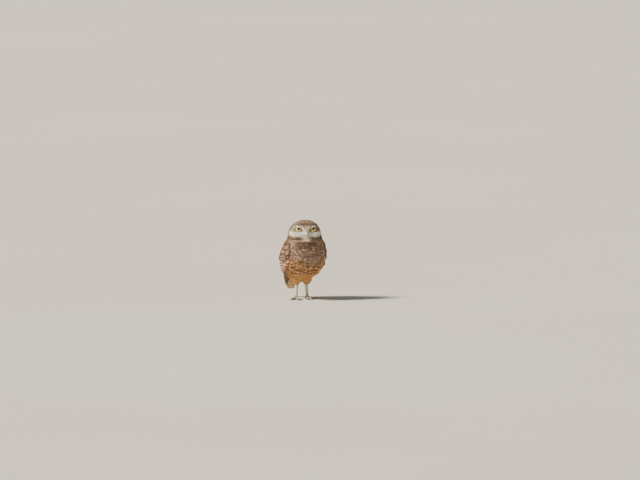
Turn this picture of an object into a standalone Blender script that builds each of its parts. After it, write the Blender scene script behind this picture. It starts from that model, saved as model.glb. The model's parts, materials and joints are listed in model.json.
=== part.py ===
"""Burrowing owl: a still, life-size museum model standing at rest.

Metres, +Z up. The body faces -Y and the head is turned a little to the owl's
right (-X). The floor is Z = 0 and the origin is the middle of the model's base.
"""

import math

import bmesh
import bpy
from mathutils import Matrix, Vector

# Driving sizes, in metres
MM = 0.001
HEIGHT = 0.190  # crown above the floor, standing relaxed
GAP = 0.0003  # between nodes that touch
FLOOR_CUT = 0.02  # depth of the block that trims the soles level

# Trunk sections: height, half width, y of the widest place, front y, back y
TRUNK = (
    (0.0405, 0.0040, 0.0230, 0.0185, 0.0280),
    (0.0430, 0.0135, 0.0225, 0.0075, 0.0370),
    (0.0500, 0.0245, 0.0175, -0.0120, 0.0445),
    (0.0600, 0.0355, 0.0115, -0.0290, 0.0480),
    (0.0740, 0.0447, 0.0055, -0.0418, 0.0470),
    (0.0900, 0.0495, 0.0000, -0.0480, 0.0430),
    (0.1050, 0.0507, -0.0040, -0.0500, 0.0375),
    (0.1200, 0.0497, -0.0070, -0.0495, 0.0315),
    (0.1330, 0.0475, -0.0090, -0.0475, 0.0265),
    (0.1400, 0.0448, -0.0100, -0.0460, 0.0245),
    (0.1460, 0.0420, -0.0105, -0.0445, 0.0235),
)
TRUNK_SIDES = 34
TRUNK_RINGS = 16
NECK_LOW = 0.1345  # where the trunk is parted into torso and neck
NECK_HIGH = 0.1450  # where the neck ends and the head begins
NECK_RINGS = 4

# Head sections, before the head is turned: as the trunk's
HEAD = (
    (0.1450, 0.0423, -0.0105, -0.0448, 0.0238),
    (0.1520, 0.0405, -0.0110, -0.0440, 0.0230),
    (0.1600, 0.0388, -0.0120, -0.0432, 0.0222),
    (0.1680, 0.0362, -0.0130, -0.0422, 0.0200),
    (0.1750, 0.0318, -0.0142, -0.0402, 0.0152),
    (0.1810, 0.0258, -0.0158, -0.0366, 0.0088),
    (0.1857, 0.0188, -0.0170, -0.0312, 0.0012),
    (0.1887, 0.0110, -0.0178, -0.0248, -0.0085),
    (HEIGHT, 0.0015, -0.0178, -0.0195, -0.0160),
)
HEAD_SIDES = 44
HEAD_RINGS = 19
FACE_CROWDING = 0.45  # draws the head's corners towards the face
HEAD_TURN = math.radians(-17)  # about +Z, towards the owl's right
HEAD_PIVOT = Vector((0, -0.011, 0))
SQUARENESS = 2.25  # exponent of the sections' superellipse
FACE_SQUARENESS = 2.7  # the same for the front of the head, which is flatter

# Eyes, lids and brows, in the head's own place before it is turned
EYE_RADIUS = 0.0086
EYE_X, EYE_Y, EYE_Z = 0.0166, -0.0309, 0.1690
LID_HALF_WIDTH, LID_UP, LID_DOWN = 0.0072, 0.0050, 0.0064
LID_RADIUS = 0.0012
LID_CORNERS = 18
LID_TURN = math.radians(14)  # the lids look a little outwards
FACE_START = -0.016  # the face's relief sets in from this y forwards
DISH_DEPTH, DISH_RADIUS = 0.0026, 0.0098
BROW_HEIGHT, BROW_WIDTH = 0.0026, 0.0034
BROW_LINE = ((0.0030, 0.1670), (0.0080, 0.1742), (0.0155, 0.1788), (0.0250, 0.1782))
CHEEK_HEIGHT, CHEEK_RADIUS = 0.0016, 0.0100
CHEEK_X, CHEEK_Z = 0.0250, 0.1545

# Bill: a hooked upper half over a shorter lower half
BILL_ROOT = Vector((0, -0.0345, 0.1642))
BILL_REACH, BILL_DROP = 0.0170, 0.0100
BILL_HALF_WIDTH, BILL_HALF_DEPTH = 0.0044, 0.0046
LOWER_ROOT = Vector((0, -0.0350, 0.1580))
LOWER_REACH, LOWER_DROP = 0.0116, 0.0022
NOSTRIL_RADIUS = 0.0008

# Wing bed, the surface that the folded wing's feathers lie on: as the trunk's sections
WING_BED = (
    (0.0180, 0.0135, 0.0560, 0.0380, 0.0725),
    (0.0300, 0.0210, 0.0480, 0.0230, 0.0680),
    (0.0450, 0.0300, 0.0330, 0.0050, 0.0612),
    (0.0600, 0.0385, 0.0175, -0.0230, 0.0550),
    (0.0740, 0.0462, 0.0070, -0.0410, 0.0495),
    (0.0900, 0.0507, 0.0005, -0.0490, 0.0448),
    (0.1050, 0.0518, -0.0040, -0.0510, 0.0388),
    (0.1200, 0.0508, -0.0070, -0.0505, 0.0327),
    (0.1380, 0.0468, -0.0098, -0.0474, 0.0262),
)
# Edges of the folded wing: height, angle of its back edge, angle of its front edge, in degrees
WING_EDGES = (
    (0.0250, 17, 25),
    (0.0350, 12, 38),
    (0.0500, 10, 56),
    (0.0650, 12, 74),
    (0.0800, 16, 92),
    (0.0950, 22, 107),
    (0.1100, 30, 116),
    (0.1250, 38, 117),
    (0.1345, 42, 112),
)
WING_TOP = 0.1345
WING_PAD = 0.0030  # how far the pile of feather bases stands off the bed
WING_FADE_TOP = 0.0170  # the pad thins over this height below its top
WING_FADE_FRONT = math.radians(26)  # and over this angle behind its front edge
VANE_THICKNESS = 0.0010
VANE_EDGE = 0.0006
VANE_CAMBER = 0.0005
VANE_TILT = 0.0005  # the front edge of a wing feather lies this much higher than its middle

# Tail
TAIL_ROOT = Vector((0, 0.0330, 0.0810))
TAIL_TIP = Vector((0, 0.0680, 0.0195))
TAIL_FEATHERS_A_SIDE = 5
TAIL_FAN = math.radians(2.0)  # between one feather and the next
TAIL_STEP = 0.0006  # each outer feather lies this much under the last
TAIL_HALF_WIDTH = 0.0068
TAIL_STATIONS = 5

# Legs and feet
LEG_X, LEG_Y = 0.0125, 0.0070
THIGH_TOP, THIGH_END = 0.0720, 0.0370
TARSUS_TOP_RADIUS, TARSUS_LOW_RADIUS = 0.0036, 0.0028
ANKLE = Vector((0.0140, 0.0060, 0.0052))  # the middle of the ball that the toes meet in
ANKLE_RADIUS = 0.0048
TARSUS_END = 0.0076  # height of the tarsus's low end, sunk in that ball
TOE_RISE = ((0, 0.0046), (0.3, 0.0030), (0.55, 0.0020), (0.8, 0.0017), (1, 0.0017))
TOE_RADII = (0.0030, 0.0026, 0.0024, 0.0021, 0.0019)
# Each toe: heading from straight ahead, outwards positive; length; claw length
TOES = (
    ("inner", math.radians(-18), 0.0185, 0.0085),
    ("middle", math.radians(8), 0.0220, 0.0090),
    ("outer", math.radians(62), 0.0180, 0.0080),
    ("hind", math.radians(172), 0.0125, 0.0080),
)

SIDES = (("right", -1), ("left", 1))

COLOURS = {
    "feather_brown": ((0.190, 0.105, 0.058), 0.85, 0.0),
    "feather_buff": ((0.420, 0.300, 0.200), 0.85, 0.0),
    "feather_breast": ((0.330, 0.225, 0.150), 0.85, 0.0),
    "leg_feathers": ((0.560, 0.470, 0.350), 0.8, 0.0),
    "toe_skin": ((0.300, 0.260, 0.200), 0.6, 0.0),
    "claw_horn": ((0.035, 0.028, 0.024), 0.35, 0.0),
    "bill_horn": ((0.560, 0.530, 0.360), 0.4, 0.0),
    "iris_yellow": ((0.850, 0.600, 0.060), 0.1, 0.0),
}


def clear_scene():
    for obj in list(bpy.data.objects):
        bpy.data.objects.remove(obj)


def material(name):
    """The Principled material of that finish, made once."""
    found = bpy.data.materials.get(name)
    if found:
        return found
    colour, roughness, metallic = COLOURS[name]
    made = bpy.data.materials.new(name)
    made.use_nodes = True
    shader = made.node_tree.nodes["Principled BSDF"]
    shader.inputs["Base Color"].default_value = (*colour, 1)
    shader.inputs["Roughness"].default_value = roughness
    shader.inputs["Metallic"].default_value = metallic
    made.diffuse_color = (*colour, 1)
    return made


def object_of(name, bm, finish=None):
    """A mesh object in the model's collection, with its faces pointing out."""
    bmesh.ops.recalc_face_normals(bm, faces=bm.faces)
    mesh = bpy.data.meshes.new(name)
    bm.to_mesh(mesh)
    bm.free()
    obj = bpy.data.objects.new(name, mesh)
    model.objects.link(obj)
    if finish:
        mesh.materials.append(material(finish))
    return obj


def section_at(sections, z):
    """The values of a table of sections at height z, on a smooth curve through them."""
    heights = [row[0] for row in sections]
    z = min(max(z, heights[0]), heights[-1])
    i = max(k for k in range(len(heights) - 1) if heights[k] <= z)
    low, high = sections[i], sections[i + 1]
    before = sections[max(i - 1, 0)]
    after = sections[min(i + 2, len(sections) - 1)]
    span = high[0] - low[0]
    t = (z - low[0]) / span
    found = []
    for a, b, c, d in zip(before, low, high, after):
        start = (c - a) / max(high[0] - before[0], 1e-9) * span
        end = (d - b) / max(after[0] - low[0], 1e-9) * span
        found.append(
            (2 * t**3 - 3 * t**2 + 1) * b
            + (t**3 - 2 * t**2 + t) * start
            + (3 * t**2 - 2 * t**3) * c
            + (t**3 - t**2) * end
        )
    return found[1:]


def on_section(sections, z, angle, front_squareness=SQUARENESS):
    """The point of a section at height z. Angle 0 is straight back (+Y) and 90 degrees the owl's left."""
    half_width, widest, front, back = section_at(sections, z)
    across, along = math.sin(angle), math.cos(angle)
    depth = back - widest if along > 0 else widest - front
    power = 2 / (SQUARENESS if along > 0 else front_squareness)
    x = half_width * math.copysign(abs(across) ** power, across)
    y = widest + depth * math.copysign(abs(along) ** power, along)
    return Vector((x, y, z))


def loft(rings):
    """A closed surface through rings of points, with a flat cap at each end."""
    bm = bmesh.new()
    rows = [[bm.verts.new(p) for p in ring] for ring in rings]
    for low, high in zip(rows, rows[1:]):
        for i in range(len(low)):
            j = (i + 1) % len(low)
            bm.faces.new((low[i], low[j], high[j], high[i]))
    bm.faces.new(rows[0][::-1])
    bm.faces.new(rows[-1])
    return bm


def spread(low, high, count):
    """Evenly spaced values from low to high."""
    return [low + (high - low) * i / (count - 1) for i in range(count)]


def trunk_heights():
    """Ring heights of the torso, closer where the belly curves under."""
    low = TRUNK[0][0]
    return [low + (NECK_LOW - low) * t**1.45 for t in spread(0, 1, TRUNK_RINGS)]


def ring_angles(sides, crowding=0.0):
    """Angles round a section, drawn towards the front by crowding."""
    turns = [2 * math.pi * i / sides for i in range(sides)]
    return [t + crowding * math.sin(t) for t in turns]


def torso():
    angles = ring_angles(TRUNK_SIDES)
    rings = [[on_section(TRUNK, z, a) for a in angles] for z in trunk_heights()]
    return object_of("torso", loft(rings), "feather_breast")


def turned(point, share=1.0):
    """A point of the head after the head's turn, or after a share of it."""
    turn = Matrix.Rotation(HEAD_TURN * share, 4, "Z")
    return turn @ (point - HEAD_PIVOT) + HEAD_PIVOT


def neck():
    """The short feathered neck, twisting from the trunk's heading to the head's."""
    low, high = NECK_LOW + GAP, NECK_HIGH - GAP
    rings = []
    for z in spread(low, high, NECK_RINGS):
        share = (z - low) / (high - low)
        angles = ring_angles(HEAD_SIDES, FACE_CROWDING)
        square = SQUARENESS + (FACE_SQUARENESS - SQUARENESS) * share
        rings.append([turned(on_section(TRUNK, z, a, square), share) for a in angles])
    return object_of("neck", loft(rings), "feather_breast")


def distance_to_line(x, z, line):
    """Distance in the XZ plane from a point to a broken line."""
    point = Vector((x, z))
    nearest = math.inf
    for a, b in zip(line, line[1:]):
        a, b = Vector(a), Vector(b)
        t = max(0, min(1, (point - a).dot(b - a) / (b - a).length_squared))
        nearest = min(nearest, (point - a.lerp(b, t)).length)
    return nearest


def face_relief(point):
    """How far the face stands out here: dished at the eyes, raised at brows and cheeks."""
    if point.y > FACE_START:
        return 0.0
    x, z = abs(point.x), point.z
    eye = math.hypot(x - EYE_X, z - EYE_Z) / DISH_RADIUS
    cheek = math.hypot(x - CHEEK_X, z - CHEEK_Z) / CHEEK_RADIUS
    brow = distance_to_line(x, z, BROW_LINE) / BROW_WIDTH
    fade = min(1.0, (FACE_START - point.y) / 0.008) * min(1.0, (z - NECK_HIGH) / 0.005)
    relief = (
        CHEEK_HEIGHT * math.exp(-(cheek**2))
        + BROW_HEIGHT * math.exp(-(brow**2))
        - DISH_DEPTH * math.exp(-(eye**4))
    )
    return relief * fade


def head_heights():
    """Ring heights of the head: even over the face, closer towards the crown."""
    low, high = NECK_HIGH, HEIGHT
    return [
        low + (high - low) * math.sin(t * math.pi / 2) ** 0.92
        for t in spread(0, 1, HEAD_RINGS)
    ]


def head_surface():
    """The head before its sockets are cut, in its own place before it is turned."""
    rings = []
    for z in head_heights():
        ring = []
        for angle in ring_angles(HEAD_SIDES, FACE_CROWDING):
            point = on_section(HEAD, z, angle, FACE_SQUARENESS)
            outward = (point - Vector((0, HEAD_PIVOT.y, EYE_Z))).normalized()
            ring.append(point + outward * face_relief(point))
        rings.append(ring)
    return loft(rings)


def lid_ring(side):
    """The rim of both lids, a ring that hugs the eyeball and dips less above than below."""
    outwards = Matrix.Rotation(side * LID_TURN, 3, "Z")
    centre = Vector((side * EYE_X, EYE_Y, EYE_Z))
    hug = EYE_RADIUS + GAP + LID_RADIUS * 0.75
    middle = []
    for i in range(LID_CORNERS):
        t = 2 * math.pi * i / LID_CORNERS
        x = LID_HALF_WIDTH * math.cos(t)
        z = (LID_UP if math.sin(t) > 0 else LID_DOWN) * math.sin(t)
        y = -math.sqrt(max(hug**2 - x**2 - z**2, 0))
        middle.append(centre + outwards @ Vector((x, y, z)))
    bm = bmesh.new()
    rows = []
    for i, point in enumerate(middle):
        along = (middle[(i + 1) % LID_CORNERS] - middle[i - 1]).normalized()
        out = (point - centre).normalized()
        side_way = along.cross(out).normalized()
        row = []
        for k in range(6):
            a = 2 * math.pi * k / 6
            offset = out * math.cos(a) + side_way * math.sin(a)
            row.append(bm.verts.new(point + offset * LID_RADIUS))
        rows.append(row)
    for i in range(LID_CORNERS):
        low, high = rows[i], rows[(i + 1) % LID_CORNERS]
        for k in range(6):
            j = (k + 1) % 6
            bm.faces.new((low[k], low[j], high[j], high[k]))
    return bm


def ball(centre, radius, segments=24, rings=16):
    bm = bmesh.new()
    bmesh.ops.create_uvsphere(bm, u_segments=segments, v_segments=rings, radius=radius)
    bmesh.ops.rotate(bm, verts=bm.verts, matrix=Matrix.Rotation(math.pi / 2, 3, "X"))
    bmesh.ops.translate(bm, verts=bm.verts, vec=centre)
    return bm


def evaluated_mesh(obj):
    """The object's mesh with its modifiers applied, in world space."""
    graph = bpy.context.evaluated_depsgraph_get()
    mesh = bpy.data.meshes.new_from_object(obj.evaluated_get(graph))
    mesh.transform(obj.matrix_world)
    return mesh


def largest_shell(mesh):
    """Keeps only the closed surface of largest volume in a mesh."""
    bm = bmesh.new()
    bm.from_mesh(mesh)
    bmesh.ops.triangulate(bm, faces=bm.faces)
    todo, shells = set(bm.faces), []
    while todo:
        stack, shell = [todo.pop()], []
        while stack:
            face = stack.pop()
            shell.append(face)
            for edge in face.edges:
                for near in edge.link_faces:
                    if near in todo:
                        todo.remove(near)
                        stack.append(near)
        shells.append(shell)

    def volume(shell):
        corners = [[v.co for v in face.verts] for face in shell]
        return abs(sum(a.dot(b.cross(c)) for a, b, c in corners)) / 6

    shells.sort(key=volume)
    for shell in shells[:-1]:
        bmesh.ops.delete(bm, geom=shell, context="FACES")
    bm.to_mesh(mesh)
    bm.free()


def boolean(obj, others, operation, solver="EXACT"):
    """Joins the others to obj, or cuts them from it, applies that and removes them."""
    group = bpy.data.collections.new("operands")
    bpy.context.scene.collection.children.link(group)
    for other in others:
        model.objects.unlink(other)
        group.objects.link(other)
    step = obj.modifiers.new(operation.lower(), "BOOLEAN")
    step.operation = operation
    step.operand_type = "COLLECTION"
    step.collection = group
    step.solver = solver
    finish = list(obj.data.materials)
    mesh = evaluated_mesh(obj)
    largest_shell(mesh)
    obj.modifiers.clear()
    obj.data = mesh
    mesh.materials.clear()
    for one in finish:
        mesh.materials.append(one)
    for other in others:
        bpy.data.objects.remove(other)
    bpy.data.collections.remove(group)
    return obj


def grown(obj, gap=GAP):
    """A cutter: a copy of obj whose surface lies gap further out."""
    bm = bmesh.new()
    bm.from_mesh(obj.data)
    bm.normal_update()
    for vert in bm.verts:
        vert.co += vert.normal * gap * vert.calc_shell_factor()
    return object_of(obj.name + "_clearance", bm)


def turn_mesh(bm):
    """Turns a mesh made in the head's own place as the head is turned."""
    for vert in bm.verts:
        vert.co = turned(vert.co)
    return bm


def arc_point(root, reach, drop, t):
    """A point on a quarter ellipse that sets out level along -Y and ends pointing down."""
    a = t * math.pi / 2
    return root + Vector((0, -reach * math.sin(a), -drop * (1 - math.cos(a))))


def bill_upper(extra=0.0):
    """The hooked upper bill. extra grows it all round, for the socket."""
    rings = []
    for t in spread(0, 1, 9):
        centre = arc_point(BILL_ROOT, BILL_REACH, BILL_DROP, t)
        a = t * math.pi / 2
        down = Vector((0, math.sin(a) * BILL_DROP, -math.cos(a) * BILL_REACH)).normalized()
        taper = (1 - t**1.7) * 0.93 + 0.07
        half_width = BILL_HALF_WIDTH * taper + extra
        half_depth = BILL_HALF_DEPTH * taper + extra
        ring = []
        for i in range(14):
            angle = 2 * math.pi * i / 14
            pinch = 1 - 0.22 * max(0, -math.sin(angle))  # the culmen is narrower
            across = Vector((half_width * math.cos(angle) * pinch, 0, 0))
            ring.append(centre + across + down * half_depth * math.sin(angle))
        rings.append(ring)
    return turn_mesh(loft(rings))


def bill_lower(extra=0.0):
    """The lower bill, a short scoop under the upper one."""
    rings = []
    for t in spread(0, 1, 6):
        centre = arc_point(LOWER_ROOT, LOWER_REACH, LOWER_DROP, t)
        taper = (1 - t**2) * 0.8 + 0.2
        half_width = 0.0036 * taper + extra
        half_depth = 0.0022 * taper + extra
        ring = []
        for i in range(12):
            angle = 2 * math.pi * i / 12
            offset = Vector((half_width * math.cos(angle), 0, half_depth * math.sin(angle)))
            ring.append(centre + offset)
        rings.append(ring)
    return turn_mesh(loft(rings))


def bill():
    """Both halves of the bill, parted along the line of the mouth, with nostrils in the cere."""
    upper = object_of("bill_upper", bill_upper(), "bill_horn")
    pits = []
    for side in (-1, 1):
        place = BILL_ROOT + Vector((side * 0.0036, -0.0078, 0.0008))
        pits.append(object_of("nostril", turn_mesh(ball(place, NOSTRIL_RADIUS, 10, 8))))
    boolean(upper, pits, "DIFFERENCE")
    lower = object_of("bill_lower", bill_lower(), "bill_horn")
    return boolean(lower, [grown(upper)], "DIFFERENCE")


def head():
    """The head with its lids, and with sockets for the eyes and the bill."""
    made = object_of("head", turn_mesh(head_surface()), "feather_brown")
    lids = [object_of("lids", turn_mesh(lid_ring(side))) for _, side in SIDES]
    boolean(made, lids, "UNION")
    sockets = []
    for _, side in SIDES:
        centre = Vector((side * EYE_X, EYE_Y, EYE_Z))
        sockets.append(object_of("socket", turn_mesh(ball(centre, EYE_RADIUS + GAP, 20, 13))))
    boolean(made, sockets, "DIFFERENCE")
    boolean(made, [object_of("bill_socket", bill_upper(GAP))], "DIFFERENCE")
    return boolean(made, [object_of("bill_socket", bill_lower(GAP))], "DIFFERENCE")


def eyes():
    for name, side in SIDES:
        centre = Vector((side * EYE_X, EYE_Y, EYE_Z))
        object_of("eye_" + name, turn_mesh(ball(centre, EYE_RADIUS, 18, 11)), "iris_yellow")


def vane(rows):
    """A thin closed feather vane. Each row is (top, low): three points across each of its faces."""
    bm = bmesh.new()
    rows = [[bm.verts.new(p) for p in (*top, *low)] for top, low in rows]
    for a, b in zip(rows, rows[1:]):
        for k in (0, 1):
            bm.faces.new((a[k], a[k + 1], b[k + 1]))
            bm.faces.new((a[k], b[k + 1], b[k]))
            bm.faces.new((a[k + 3], b[k + 4], a[k + 4]))
            bm.faces.new((a[k + 3], b[k + 3], b[k + 4]))
        for top, low in ((0, 3), (2, 5)):
            bm.faces.new((a[top], b[top], b[low]))
            bm.faces.new((a[top], b[low], a[low]))
    for row in (rows[0], rows[-1]):
        for top in (0, 1):
            bm.faces.new((row[top], row[top + 1], row[top + 4]))
            bm.faces.new((row[top], row[top + 4], row[top + 3]))
    return bm


def bed_point(z, angle):
    return on_section(WING_BED, z, angle)


def bed_frame(z, angle):
    """The bed's point there, its slopes with height and with angle, and its outward normal."""
    step = 0.001
    up = (bed_point(z + step, angle) - bed_point(z - step, angle)) / (2 * step)
    round_ = (bed_point(z, angle + step) - bed_point(z, angle - step)) / (2 * step)
    return bed_point(z, angle), up, round_, up.cross(round_).normalized()


def wing_edges(z):
    """Angles of the folded wing's back edge and front edge at height z."""
    rows = WING_EDGES
    z = min(max(z, rows[0][0]), rows[-1][0])
    i = max(k for k in range(len(rows) - 1) if rows[k][0] <= z)
    t = (z - rows[i][0]) / (rows[i + 1][0] - rows[i][0])
    back, front = (rows[i][k] + (rows[i + 1][k] - rows[i][k]) * t for k in (1, 2))
    return math.radians(back), math.radians(front)


def ease(t):
    """A smooth step from 0 to 1."""
    t = min(max(t, 0.0), 1.0)
    return t * t * (3 - 2 * t)


def wing_fade(z, angle):
    """1 on the wing, falling to 0 at its front edge and at its top, where it thins into the body."""
    front = wing_edges(z)[1]
    return ease((WING_TOP - z) / WING_FADE_TOP) * ease((front + 0.06 - angle) / WING_FADE_FRONT)


def lifted(z, angle, lift):
    """A point over the wing bed, lower where the wing thins into the body, and its normal."""
    point, _, _, outward = bed_frame(z, angle)
    return point + outward * lift * (0.08 + 0.92 * wing_fade(z, angle)), outward


def wing_vane(side, root, tip, half_width, lift_root, lift_tip, bow=0.0, stations=4):
    """A vane laid on the wing bed. root and tip are (height, angle in degrees), lifts are above the bed."""
    spots = []
    for t in spread(0, 1, stations):
        bend = bow * math.sin(math.pi * t)
        angle = math.radians(root[1] + (tip[1] - root[1]) * t + bend)
        spots.append((t, root[0] + (tip[0] - root[0]) * t, angle))
    rows = []
    for i, (t, z, angle) in enumerate(spots):
        behind, ahead = spots[max(i - 1, 0)], spots[min(i + 1, stations - 1)]
        _, up, round_, outward = bed_frame(z, angle)
        along = (bed_point(*ahead[1:]) - bed_point(*behind[1:])).normalized()
        across = along.cross(outward).normalized() * half_width * vane_width(t)
        if across.dot(round_) < 0:
            across.negate()
        top, low = [], []
        for k in (-1, 0, 1):
            rise = across.z * k
            turn = (across * k - up * rise).dot(round_) / round_.length_squared
            lift = lift_root + (lift_tip - lift_root) * t + VANE_TILT * k
            thick = VANE_EDGE if k else VANE_THICKNESS
            point, normal = lifted(z + rise, angle + turn, lift + (0 if k else VANE_CAMBER))
            top.append(point + normal * thick / 2)
            low.append(point - normal * thick / 2)
        rows.append((top, low))
    for row in rows:
        for face in row:
            for point in face:
                point.x *= side
    return object_of("vane", vane(rows))


def vane_width(t):
    """Share of a feather's full half width along its length, with a rounded tip."""
    return 0.62 + 0.38 * math.sin(min(t, 0.55) / 0.55 * math.pi / 2) - 0.56 * max(0, (t - 0.6) / 0.4) ** 2.2


def wing_pad(side, low, high, inset, count, columns):
    """A pad that lies on the bed between the wing's edges, a little inside them by inset."""
    rings = []
    for z in spread(low, high, count):
        back, front = wing_edges(z)
        back, front = back + inset, front - inset
        swell = ease((z - low) / 0.05) * 0.75 + 0.25
        ring = []
        angles = spread(back, front, columns)
        for i, angle in enumerate(angles):
            edge = math.sin(math.pi * (0.06 + 0.88 * i / (columns - 1))) ** 0.6
            ring.append(lifted(z, angle, WING_PAD * swell * edge)[0])
        depth = 0.0012 + 0.006 * ease((z - 0.05) / 0.02)
        for angle in angles[::-1]:
            point, _, _, outward = bed_frame(z, angle)
            ring.append(point - outward * depth)
        rings.append(ring)
    for ring in rings:
        for point in ring:
            point.x *= side
    return loft(rings)


def wing_tiers(side):
    """Every vane of a folded wing, tier by tier from the lowest layer to the highest."""
    made = []
    primaries = ((26, 23), (29, 20.5), (33, 18.5), (38, 17), (44, 16), (51, 15))
    for i, (height, angle) in enumerate(primaries):
        root = (0.098 + 0.0008 * i, 104 - 9 * i)
        lift = 0.0004 * i
        made.append(wing_vane(side, root, (height * MM, angle), 0.0062, lift, lift, 9 - 1.2 * i, 5))
    for i in range(5):
        root = (0.107, 106 - 16.5 * i)
        tip = (0.0745 - 0.0036 * i, 83 - 15.5 * i)
        lift = 0.0012 + 0.0004 * i
        made.append(wing_vane(side, root, tip, 0.0086, lift, lift + 0.0006, 3))
    for i in range(6):
        root = (0.1170, 109 - 14 * i)
        tip = (0.0900 - 0.0012 * i, 98 - 14 * i)
        lift = 0.0024 + 0.0002 * i
        made.append(wing_vane(side, root, tip, 0.0080, lift - 0.0008, lift + 0.0004, 1))
    for i in range(5):
        root = (0.1275, 108 - 16 * i)
        tip = (0.1050 - 0.0006 * i, 101 - 16 * i)
        lift = 0.0033 + 0.0002 * i
        made.append(wing_vane(side, root, tip, 0.0086, lift - 0.0014, lift + 0.0003, 0, 3))
    for i in range(3):
        root = (0.1280 - 0.0090 * i, 49 - 9 * i)
        tip = (0.0990 - 0.0130 * i, 40 - 10 * i)
        lift = 0.0037 + 0.0002 * i
        made.append(wing_vane(side, root, tip, 0.0082, lift - 0.0020, lift + 0.0003, 0, 3))
    return made


def wings(*neighbours):
    for name, side in SIDES:
        pad = wing_pad(side, 0.062, WING_TOP - GAP, math.radians(4), 10, 9)
        made = object_of("wing_" + name, pad, "feather_brown")
        boolean(made, wing_tiers(side), "UNION", "MANIFOLD")
        for near in neighbours:
            boolean(made, [grown(near)], "DIFFERENCE", "MANIFOLD")


def tail_vane(heading, outward, reach, drop):
    """A straight tail feather from the tail's root, flat but for a low ridge along its shaft."""
    across = heading.cross(outward).normalized()
    rows = []
    for t in spread(0.12, 1, TAIL_STATIONS):
        middle = TAIL_ROOT + heading * reach * t + drop
        top, low = [], []
        for k in (-1, 0, 1):
            point = middle + across * TAIL_HALF_WIDTH * vane_width(t) * k
            if not k:
                point = point + outward * VANE_CAMBER
            half = outward * (VANE_EDGE if k else VANE_THICKNESS) / 2
            top.append(point + half)
            low.append(point - half)
        rows.append((top, low))
    return object_of("tail_feather", vane(rows))


def tail_core(along, outward, length, reach):
    """The pile of tail coverts, an oval lobe that thins along the tail up to reach."""
    rings = []
    for t in spread(0, 1, 8):
        centre = TAIL_ROOT + along * length * (0.02 + reach * t) - outward * 0.0035
        swell = math.sqrt(max(1 - t**2.2, 0.02))
        ring = []
        for k in range(16):
            a = 2 * math.pi * k / 16
            across = Vector((0.0165 * swell * math.cos(a), 0, 0))
            ring.append(centre + across + outward * 0.0058 * swell * math.sin(a))
        rings.append(ring)
    return loft(rings)


def tail(trunk):
    """Ten tail feathers, closed like a fan with the middle pair on top, under a core of coverts."""
    along = (TAIL_TIP - TAIL_ROOT).normalized()
    outward = Vector((0, -along.z, along.y)).normalized()
    length = (TAIL_TIP - TAIL_ROOT).length
    feathers = []
    for i in range(TAIL_FEATHERS_A_SIDE):
        for side in (-1, 1):
            fan = Matrix.Rotation(side * TAIL_FAN * (i + 0.5), 3, outward)
            drop = outward * -TAIL_STEP * (i + (0.4 if side > 0 else 0))
            feathers.append(tail_vane(fan @ along, outward, length * (1 - 0.012 * i), drop))
    made = object_of("tail", tail_core(along, outward, length, 0.56), "feather_brown")
    boolean(made, feathers, "UNION", "MANIFOLD")
    return boolean(made, [grown(trunk)], "DIFFERENCE", "MANIFOLD")


def tube(points, radii, sides=2):
    """A closed mesh tube along points, tapering by the radius at each."""
    data = bpy.data.curves.new("tube", "CURVE")
    data.dimensions = "3D"
    data.bevel_depth = 1.0
    data.bevel_resolution = sides
    data.use_fill_caps = True
    spline = data.splines.new("POLY")
    spline.points.add(len(points) - 1)
    for spot, point, radius in zip(spline.points, points, radii):
        spot.co = (*point, 1)
        spot.radius = radius
    curve = bpy.data.objects.new("tube", data)
    model.objects.link(curve)
    bm = bmesh.new()
    bm.from_mesh(evaluated_mesh(curve))
    bmesh.ops.remove_doubles(bm, verts=bm.verts, dist=0.00001)
    bpy.data.objects.remove(curve)
    return bm


def thighs(trunk):
    """The feathered thighs, lobes under the belly that end where the thinly feathered tarsus starts."""
    for name, side in SIDES:
        rings = []
        for t in spread(0, 1, 8):
            height = THIGH_TOP + (THIGH_END - THIGH_TOP) * t
            centre = Vector((side * (LEG_X + 0.0060 * (1 - t)), LEG_Y + 0.0030 * (1 - t), height))
            swell = 1 - 0.66 * t**2.2
            ring = []
            for k in range(18):
                a = 2 * math.pi * k / 18
                ring.append(centre + Vector((0.0158 * math.cos(a), 0.0195 * math.sin(a), 0)) * swell)
            rings.append(ring)
        made = object_of("thigh_" + name, loft(rings), "leg_feathers")
        boolean(made, [grown(trunk)], "DIFFERENCE")


def floor_block():
    bm = bmesh.new()
    bmesh.ops.create_cube(bm, size=1)
    bmesh.ops.scale(bm, verts=bm.verts, vec=(0.3, 0.3, FLOOR_CUT))
    bmesh.ops.translate(bm, verts=bm.verts, vec=(0, 0, -FLOOR_CUT / 2))
    return object_of("floor_block", bm)


def legs_and_feet():
    """Slender tarsi, and feet of four toes on flat soles, each toe with its claw."""
    for name, side in SIDES:
        ankle = Vector((side * ANKLE.x, ANKLE.y, ANKLE.z))
        top = Vector((side * LEG_X, LEG_Y, THIGH_END - GAP))
        low = Vector((ankle.x, ankle.y, TARSUS_END))
        path = [top.lerp(low, t) for t in (0, 0.25, 0.7, 1)]
        radii = [TARSUS_TOP_RADIUS, 0.0031, TARSUS_LOW_RADIUS, 0.0031]
        tarsus = object_of("tarsus_" + name, tube(path, radii, 2), "leg_feathers")
        toes = []
        for toe, heading, length, claw_length in TOES:
            way = Vector((side * math.sin(heading), -math.cos(heading), 0))
            points = [Vector((ankle.x, ankle.y, z)) + way * length * t for t, z in TOE_RISE]
            toes.append(object_of("toe", tube(points, TOE_RADII, 1)))
            claw(name, toe, points[-1], way, claw_length)
        foot = object_of("foot_" + name, ball(ankle, ANKLE_RADIUS, 12, 8), "toe_skin")
        boolean(foot, toes, "UNION")
        boolean(foot, [floor_block()], "DIFFERENCE")
        boolean(foot, [grown(tarsus)], "DIFFERENCE")


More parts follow.
